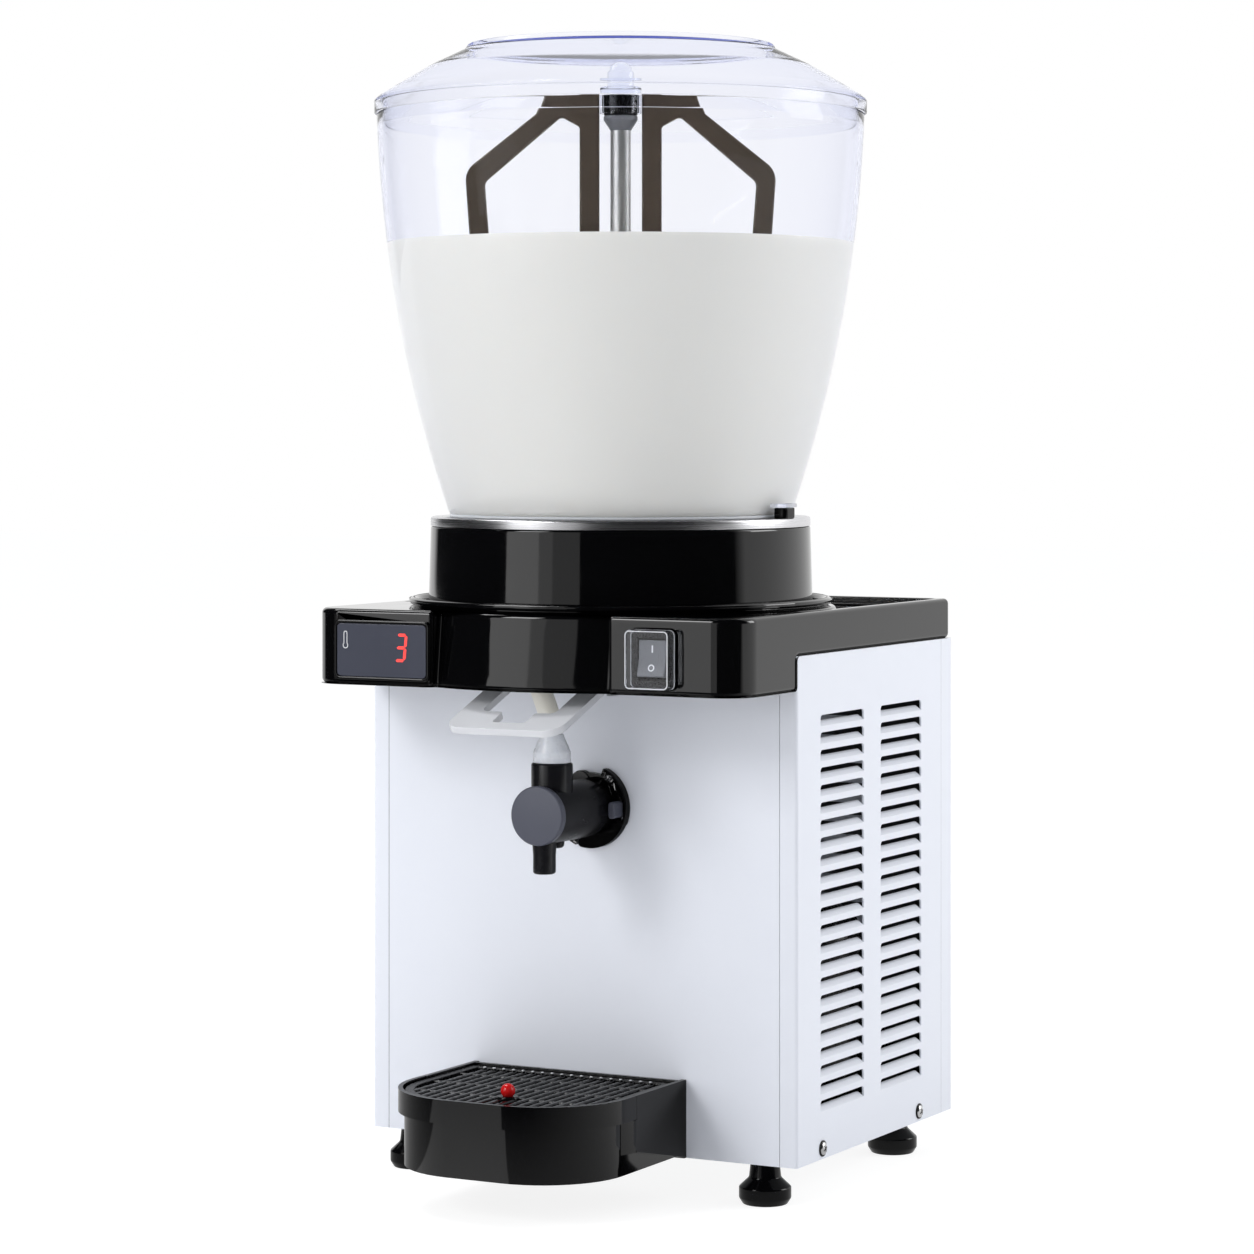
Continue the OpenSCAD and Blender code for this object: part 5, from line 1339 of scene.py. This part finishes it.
    def knob(self) -> Thing:
        """Builds the latch knob beside the pump body.

        Returns:
            The knob.
        """
        (x, z), (front, back) = self.axis, self.flange_y
        (left, right), (low, high) = self.knob_x, self.knob_z
        outline = box_outline((x + left, z + low), (x + right, z + high), 2.3)
        return eased(slab("latch_knob", outline, front - self.knob_out, back - 0.1, Lay.FRONT), 1.9, 4)

    def build(self) -> None:
        """Builds and seats the tap's pieces."""
        seat_copy("pump_flange", "flange_plate", Body.CASE, Look.BLACK_GLOSS, 0.8)
        seat(self.latch(), Body.CASE, Look.BLACK_GLOSS)
        seat(self.knob(), Body.CASE, Look.PUMP_FACE)
        seat(self.housing(), Body.CASE, Look.PUMP_GREY, "pump_housing")
        seat(self.front_cap(), Body.CASE, Look.PUMP_FACE, "pump_front_cap")
        (wide, narrow), wall, (low, bend, top) = self.funnel, self.funnel_wall, self.funnel_z
        funnel = rounded([(wide, low, 0), (wide, bend, 2), (narrow, top, 0.6), (narrow - wall, top, 0.4),
                          (wide - wall, bend - 1, 1), (wide - wall, low, 0)], True, 4)
        cone = lathe("funnel_cone", funnel, True, 72, moved(self.axis[0], self.inlet_y, 0))
        seat(cone, Body.CASE, Look.MILKY_FUNNEL, "inlet_funnel")
        seat(tube("feed_hose", self.route(), self.hose), Body.CASE, Look.BEIGE_HOSE, "drink_hose")
        self.screws()
        seat_copy("tap_lever", "lever_moulding", Body.LEVER, Look.WHITE_LEVER, 1.6, 4)


@dataclass
class Electrics:
    """Display on the left box and mains switch on the right box."""

    window_front: float = -140.6
    pivot: Point3 = (98.4, -136.0, 355.7)
    tilt: float = -8.0
    dish: Point2 = (-4.2, -1.4)
    rocker_half: float = 11.7
    mark_up: float = 6.0
    cover: Point2 = (31.5, 37.6)
    cover_y: Point2 = (-149.0, -140.0)
    cover_corner: float = 3.5
    digit_low: Point2 = (-92.5, 348.6)
    digit_size: Point2 = (8.6, 18.7)
    slant: float = 0.10
    stroke: float = 2.0
    ink: float = 0.15

    def stroke_plate(self, start: Point2, end: Point2) -> Thing:
        """Builds one stroke of the digit, with pointed ends.

        Args:
            start: first end, in the digit's upright plane.
            end: second end.

        Returns:
            The stroke.
        """
        along = (Vector(end) - Vector(start)).normalized()
        side = Vector((-along.y, along.x)) * self.stroke / 2
        a, b = Vector(start) + along * 0.25, Vector(end) - along * 0.25
        shape = [a, a + along * self.stroke / 2 + side, b - along * self.stroke / 2 + side, b,
                 b - along * self.stroke / 2 - side, a + along * self.stroke / 2 - side]
        x, z = self.digit_low
        outline = [(x + p.x + self.slant * p.y, z + p.y) for p in shape]
        return slab("stroke", outline, self.window_front - self.ink, self.window_front, Lay.FRONT)

    def digit(self) -> Thing:
        """Builds a lit figure three.

        Returns:
            The figure.
        """
        w, h = self.digit_size
        m, half = self.stroke / 2, h / 2
        strokes = [((m, h - m), (w - m, h - m)), ((m, half), (w - m, half)), ((m, m), (w - m, m)),
                   ((w - m, half), (w - m, h - m)), ((w - m, m), (w - m, half))]
        return merged("display_figure", [self.stroke_plate(*ends) for ends in strokes])

    def thermometer(self) -> Thing:
        """Builds the outline sign of a thermometer.

        Returns:
            The sign.
        """
        x, low, stem, bulb = -130.0, 358.6, 1.15, 1.75

        def outline(grow: float) -> list[Point2]:
            """Outlines the sign, grown outwards."""
            s, b = stem + grow, bulb + grow
            n = sqrt(b ** 2 - s ** 2)
            top = [(x + s * cos(a), low + 8.0 + s * sin(a)) for a in (pi * k / 8 for k in range(9))]
            begin = pi - atan2(n, s)
            round_ = [(x + b * cos(a), low + b * sin(a))
                      for a in (begin + (2 * pi - 2 * begin + pi) * k / 14 for k in range(15))]
            return top + round_

        return slab("display_sign", outline(0.35), self.window_front - self.ink, self.window_front, Lay.FRONT,
                    [outline(-0.25)])

    def marks(self) -> Thing:
        """Builds the on and off signs on the two faces of the rocker.

        Returns:
            Both signs as one piece.
        """
        ring = [circle(r, 24) for r in (2.3, 1.45)]
        signs = [(1, slab("on", box_outline((-0.5, -2.3), (0.5, 2.3), 0.25), -self.ink, 0.3, Lay.FRONT)),
                 (-1, slab("off", ring[0], -self.ink, 0.3, Lay.FRONT, [ring[1]]))]
        lean = atan2(-self.dish[1], self.rocker_half)
        for sign, plate in signs:
            depth = self.dish[0] + self.dish[1] * self.mark_up / self.rocker_half
            shifted(plate, moved(*self.pivot) @ Matrix.Rotation(radians(self.tilt), 4, "X")
                    @ moved(0, depth, sign * self.mark_up) @ Matrix.Rotation(sign * lean, 4, "X"))
        return merged("rocker_signs", [plate for _, plate in signs])

    def cover_highlight_loops(self) -> Thing:
        """Builds pale loops on the front and rear edges of the switch's clear cover, as a painted highlight.

        Returns:
            The front and the rear edge as one piece.
        """
        (x, _, z), (w, h), (front, back) = self.pivot, self.cover, self.cover_y

        def loop(inset: float) -> list[Point2]:
            """Outlines the cover, drawn in by an inset."""
            low = (x - w / 2 + inset, z - h / 2 + inset)
            return box_outline(low, (x + w / 2 - inset, z + h / 2 - inset), self.cover_corner - inset)

        return merged("cover_highlight_loops", [
            slab("edge", loop(0.5), front - 0.05, front + 0.35, Lay.FRONT, [loop(1.1)]),
            slab("edge", loop(-0.05), back - 0.6, back, Lay.FRONT, [loop(0.5)])])

    def build(self) -> None:
        """Builds and seats the display and the switch."""
        seat_copy("display_bezel", "display_frame", Body.CASE, Look.BLACK_GLOSS, 0.9)
        seat_copy("display_window", "display_pane", Body.CASE, Look.DISPLAY_GLASS, 0.5)
        seat(self.digit(), Body.CASE, Look.DIGIT_RED)
        seat(self.thermometer(), Body.CASE, Look.MARK_AND_HIGHLIGHT_WHITE)
        seat_copy("switch_housing", "switch_frame", Body.CASE, Look.BLACK_MATTE, 0.6)
        seat_copy("switch_cover", "switch_splash_cover", Body.CASE, Look.CLEAR_COVER, 1.0)
        seat_copy("rocker", "switch_rocker", Body.ROCKER, Look.GREY_PLASTIC, 0.7)
        seat(self.marks(), Body.ROCKER, Look.MARK_AND_HIGHLIGHT_WHITE)
        # Pale loops on the cover's edges: painted highlight.
        seat(self.cover_highlight_loops(), Body.CASE, Look.COVER_HIGHLIGHT)


@dataclass
class DripTray:
    """Gloss tray on its bracket, with the barred grille and the float."""

    half: float = 80.0
    front: float = -199.0
    rear: float = -62.0
    corner: float = 60.0
    grille_z: Point2 = (70.5, 75.5)
    inset: float = 4.3
    rail: float = 6.0
    bars: int = 18
    bar: float = 4.2
    tie: float = 3.0
    cross_at: Point3 = (0.28, 0.52, 0.76)
    float_at: Point2 = (6.4, -163.0)
    cheek_y: float = -126.5
    fairing_z: Point2 = (41.0, 61.7)

    def plan(self, inset: float) -> list[Point2]:
        """Outlines the tray, drawn in by an inset."""
        h, r = self.half - inset, max(self.corner - inset, 1)
        return rounded([(-h, self.rear - inset, 1.5), (-h, self.front + inset, r), (h, self.front + inset, r),
                        (h, self.rear - inset, 1.5)], True, 14)

    def grille(self) -> None:
        """Builds and seats the grille's frame, bars and pegs, with pale caps on the pegs as a painted
        highlight.
        """
        low, high = self.grille_z
        border = eased(slab("grille_frame", self.plan(self.inset), low, high, Lay.FLAT,
                            [self.plan(self.inset + self.rail)]), 0.7)
        seat(border, Body.GRILLE, Look.BLACK_MATTE, "drip_grille")
        reach = self.half - self.inset - self.rail
        step = 2 * reach / (self.bars + 1)
        back = self.rear - self.inset - self.rail + 2
        length = (back - (self.front + self.inset + self.rail) + 2) * MM
        half, foot, crown = self.bar / 2, low + 0.4, high - 0.4
        section = rounded([(-half, foot, 0), (half, foot, 0), (half, crown, 1.2),
                           (-half, crown, 1.2)], True, 3)
        turn = self.corner - self.inset - self.rail + 2
        rod = slab("grille_bars", section, -1000.0, 0.0, Lay.FRONT)
        grown(smooth(rod, 40), REPEAT.bars, Look.GRILLE_GLOSS, {
            "Count": self.bars, "First": ((step - reach) * MM, back * MM, 0), "Step": (step * MM, 0, 0),
            "Length": length, "Straight": (self.half - self.corner) * MM,
            "Corner": turn * MM})
        seat(rod, Body.GRILLE, Look.GRILLE_GLOSS)
        for share in self.cross_at:
            y = self.front + share * (self.rear - self.front)
            past = max(self.front + self.corner - y, 0)
            half = self.half - self.corner + sqrt(turn ** 2 - past ** 2)
            outline = [(-half, y), (half, y), (half, y + self.tie), (-half, y + self.tie)]
            tie = slab(f"grille_tie_{round(100 * share)}", outline, foot, high - 0.7)
            seat(eased(tie, 0.8), Body.GRILLE, Look.GRILLE_GLOSS)
        boss = rounded([(2.6, low, 0), (7, low, 0), (7, high + 0.9, 1.0), (2.6, high + 0.9, 0.5)], True, 3)
        seat(lathe("float_boss", boss, True, 48, moved(*self.float_at, 0)), Body.GRILLE, Look.GRILLE_GLOSS)
        at = moved(step - reach, self.rear - self.inset - self.rail - 2.5, 0)
        row = {"Rows": self.bars, "Row Step": (step * MM, 0, 0), "Columns": 1, "Column Step": (0, 0, 0)}
        # Pale caps on the peg tops: painted highlight.
        for name, radius, root, top, look in (
                ("grille_pegs", 1.7, high - 2, high + 0.8, Look.BLACK_GLOSS),
                ("grille_peg_highlights", 1.1, high + 0.4, high + 1.3, Look.MARK_AND_HIGHLIGHT_WHITE)):
            profile = rounded([(0, root, 0), (radius, root, 0), (radius, top, radius * 0.7),
                               (0, top, 0)], False, 4)
            peg = lathe(name, profile, False, 16, at)
            grown(peg, REPEAT.rows, look, row)
            seat(peg, Body.GRILLE, look)

    def fairings(self) -> Thing:
        """Builds the wedges that run from the bracket's cheeks onto the tray's sides.

        Returns:
            Both wedges as one piece.
        """
        low, high = self.fairing_z
        inner, outer = self.half - 3.85, self.half
        wedges = []
        for sign in (-1, 1):
            outline = [(sign * x, y) for x, y in ((inner, self.cheek_y - 14.5), (outer, self.cheek_y - 2.5),
                                                  (outer, self.cheek_y + 0.2), (inner, self.cheek_y + 0.2))]
            wedges.append(smooth(slab("wedge", outline, low, high), 40))
        return merged("cheek_fairings", wedges)

    def build(self) -> None:
        """Builds and seats the tray's pieces."""
        seat_copy("drip_tray", "tray_moulding", Body.TRAY, Look.BLACK_GLOSS, 1.2)
        seat_copy("tray_bracket", "bracket_moulding", Body.CASE, Look.BLACK_GLOSS, 0.9)
        seat(self.fairings(), Body.CASE, Look.BLACK_GLOSS)
        self.grille()


@dataclass
class Studio:
    """Camera, floor, world and soft lamps."""

    camera_at: Point3 = (1.2354, -2.2892, 0.5057)
    camera_turn: float = 28.26
    lens: float = 110.68
    shift: float = -0.1637
    bright_turn: float = -8.0
    dark: float = 0.02
    low_cards: tuple[Point3, ...] = ((-50.0, -30.0, 0.25), (-30.0, -18.5, 1.5), (-18.5, 0.5, 0.65))
    high_cards: tuple[Point3, ...] = ((-43.5, -21.0, 1.8), (-21.0, -12.0, 1.0), (-12.0, 5.0, 0.6))
    card_reach: float = 2.3
    card_z: Point3 = (0.06, 0.34, 1.05)
    tray_card_at: Point2 = (-0.2065, -0.460)
    tray_card_size: Point2 = (0.20, 0.5)
    lamps: tuple[tuple[str, Point3, Point3, Point2, float], ...] = (
        ("key", (-1.6, -2.8, 2.2), (0, 0, 0.4), (1.2, 1.2), 40),
        ("fill", (2.6, 1.75, 1.55), (0, 0, 0.3), (1.4, 1.6), 43),
        ("top", (-0.95, -0.15, 2.15), (0, -0.05, 0.45), (0.42, 1.1), 16))

    def camera(self) -> None:
        """Sets the camera at the photograph's place."""
        data = bpy.data.cameras.new("camera")
        data.lens, data.sensor_width, data.shift_y = self.lens, 36.0, self.shift
        thing = bpy.data.objects.new("camera", data)
        thing.location = self.camera_at
        thing.rotation_euler = (pi / 2, 0, radians(self.camera_turn))
        bpy.context.scene.collection.objects.link(thing)
        bpy.context.scene.camera = thing

    @staticmethod
    def lamp(name: str, at: Point3, aim: Point3, size: Point2, power: float) -> Thing:
        """Hangs a soft rectangular lamp.

        Args:
            name: the lamp's name.
            at: its place, in metres.
            aim: the point that it faces.
            size: its width and height.
            power: its power in watts.

        Returns:
            The lamp.
        """
        data = bpy.data.lights.new(name, "AREA")
        data.shape, data.size, data.size_y, data.energy = "RECTANGLE", *size, power
        thing = bpy.data.objects.new(name, data)
        thing.location = at
        thing.rotation_euler = (Vector(aim) - Vector(at)).to_track_quat("-Z", "Y").to_euler()
        thing.visible_camera = False
        bpy.context.scene.collection.objects.link(thing)
        return thing

    def reflectors(self) -> None:
        """Stands pale cards at the left for the gloss mouldings to mirror, and lays one before the tray."""
        low, middle, high = self.card_z
        for bottom, top, row in ((low, middle, self.low_cards), (middle, high, self.high_cards)):
            for first, last, brightness in row:
                turn, z = radians(first + last) / 2, (bottom + top) / 2
                width = 2 * self.card_reach * tan(radians(last - first) / 2)
                x, y = self.card_reach * sin(turn), -self.card_reach * cos(turn)
                power = pi * width * (top - bottom) * brightness
                self.lamp("card", (x, y - 0.1, z), (0, -0.1, z), (width, top - bottom), power)
        at = self.tray_card_at
        flat = self.lamp("tray_card", (*at, 0.003), (*at, 1), self.tray_card_size, 0.18)
        flat.rotation_euler = (pi, 0, radians(-self.camera_turn))

    def bright_way(self) -> Point2:
        """Gives the way of the studio's bright end, which polished pieces mirror."""
        return -sin(radians(self.bright_turn)), cos(radians(self.bright_turn))

    @staticmethod
    def rays(tree: bpy.types.NodeTree,
             path: bpy.types.Node) -> tuple[bpy.types.NodeSocket, bpy.types.NodeSocket]:
        """Tells rays that a polished piece has mirrored from those straight through clear pieces.

        Args:
            tree: the node tree.
            path: its light path node.

        Returns:
            One factor for mirrored rays and one for straight rays.
        """
        mirrored = tree.nodes.new("ShaderNodeMath")
        mirrored.operation = "GREATER_THAN"
        tree.links.new(path.outputs["Glossy Depth"], mirrored.inputs[0])
        straight = tree.nodes.new("ShaderNodeMath")
        straight.operation = "GREATER_THAN"
        tree.links.new(path.outputs["Is Transmission Ray"], straight.inputs[0])
        tree.links.new(mirrored.outputs[0], straight.inputs[1])
        return mirrored.outputs[0], straight.outputs[0]

    def world(self) -> None:
        """Sets an even soft sky that is white to the camera and through clear pieces."""
        world = bpy.data.worlds.new("studio")
        bpy.context.scene.world = world
        world.use_nodes = True
        tree = world.node_tree
        tree.nodes.clear()
        path = tree.nodes.new("ShaderNodeLightPath")
        mirrored, straight = self.rays(tree, path)

        def sky(colour: Colour, strength: float) -> bpy.types.Node:
            """Adds an even background."""
            node = tree.nodes.new("ShaderNodeBackground")
            node.inputs["Color"].default_value = (*colour, 1)
            node.inputs["Strength"].default_value = strength
            return node

        def choose(factor: bpy.types.NodeSocket, no: bpy.types.Node, yes: bpy.types.Node) -> bpy.types.Node:
            """Adds a choice between two backgrounds."""
            node = tree.nodes.new("ShaderNodeMixShader")
            tree.links.new(factor, node.inputs[0])
            tree.links.new(no.outputs[0], node.inputs[1])
            tree.links.new(yes.outputs[0], node.inputs[2])
            return node

        gaze = tree.nodes.new("ShaderNodeVectorMath")
        gaze.operation = "DOT_PRODUCT"
        gaze.inputs[1].default_value = (*self.bright_way(), 0.0)
        tree.links.new(tree.nodes.new("ShaderNodeTexCoord").outputs["Generated"], gaze.inputs[0])
        spread = tree.nodes.new("ShaderNodeMapRange")
        for label, value in (("From Min", 0.31), ("From Max", 0.44), ("To Min", 0.0), ("To Max", 1.0)):
            spread.inputs[label].default_value = value
        tree.links.new(gaze.outputs["Value"], spread.inputs["Value"])
        white = sky((1, 1, 1), 1.0)
        mirror = choose(spread.outputs[0], sky((0.9, 0.94, 1.0), self.dark), white)
        shown = choose(mirrored, sky((0.95, 0.97, 1.0), 0.55), mirror)
        shown = choose(straight, shown, white)
        shown = choose(path.outputs["Is Camera Ray"], shown, white)
        tree.links.new(shown.outputs[0], tree.nodes.new("ShaderNodeOutputWorld").inputs["Surface"])

    def floor(self) -> None:
        """Lays a pale floor that keeps a faint shadow and looks white."""
        board = bmesh.new()
        bmesh.ops.create_grid(board, x_segments=1, y_segments=1, size=12)
        floor = finished("studio_floor", board, outward=False)
        sheet = Board("studio_floor")
        tone = sheet.tone(sheet.noise(3.0), (0.86, 0.86, 0.87), (0.88, 0.88, 0.89))
        matt = sheet.add("ShaderNodeBsdfDiffuse")
        sheet.join(tone, matt.inputs["Color"])
        shaded = sheet.add("ShaderNodeBsdfDiffuse", {"Color": (0.26, 0.26, 0.26, 1)})
        bright = sheet.add("ShaderNodeEmission", {"Color": (1, 1, 1, 1), "Strength": 0.86})
        seen = sheet.add("ShaderNodeAddShader")
        sheet.join(shaded.outputs[0], seen.inputs[0])
        sheet.join(bright.outputs[0], seen.inputs[1])
        away = sheet.add("ShaderNodeVectorMath")
        away.operation = "DOT_PRODUCT"
        away.inputs[1].default_value = (*self.bright_way(), 0.0)
        sheet.join(sheet.place((1, 1, 1)), away.inputs[0])
        fade = sheet.add("ShaderNodeMapRange", {
            "From Min": -0.6, "From Max": 0.5, "To Min": self.dark, "To Max": 1.0})
        sheet.join(away.outputs["Value"], fade.inputs["Value"])
        mirrored = sheet.add("ShaderNodeEmission", {"Color": (1, 1, 1, 1)})
        sheet.join(fade.outputs[0], mirrored.inputs["Strength"])
        path = sheet.add("ShaderNodeLightPath")
        mirror, straight = self.rays(sheet.tree, path)
        mixed = matt
        for ray, shader in ((mirror, mirrored), (straight, seen), (path.outputs["Is Camera Ray"], seen)):
            step = sheet.add("ShaderNodeMixShader")
            sheet.join(ray, step.inputs[0])
            sheet.join(mixed.outputs[0], step.inputs[1])
            sheet.join(shader.outputs[0], step.inputs[2])
            mixed = step
        floor.data.materials.append(sheet.surface(mixed))

    def build(self) -> None:
        """Sets up the studio."""
        bpy.context.scene.view_settings.view_transform = "Standard"
        self.camera()
        self.world()
        self.floor()
        for lamp in self.lamps:
            self.lamp(*lamp)
        self.reflectors()


def dress_nodes() -> None:
    """Gives every CAD node the finish of its slot."""
    for entry in frame["record"]["subparts"]:
        thing = frame["nodes"][entry["node"]]
        thing.data.materials.clear()
        thing.data.materials.append(PALETTE.of(Look(entry["material_slot"])))


def main() -> None:
    """Builds every sub-assembly and the studio."""
    logging.basicConfig(level=logging.INFO, format="%(message)s")
    dress_nodes()
    Studio().build()
    for part in (Case(), TopCover(), Tank(), Bowl(), Lid(), Mixer(), Tap(), Electrics(), DripTray()):
        part.build()


if __name__ == "__main__":
    main()
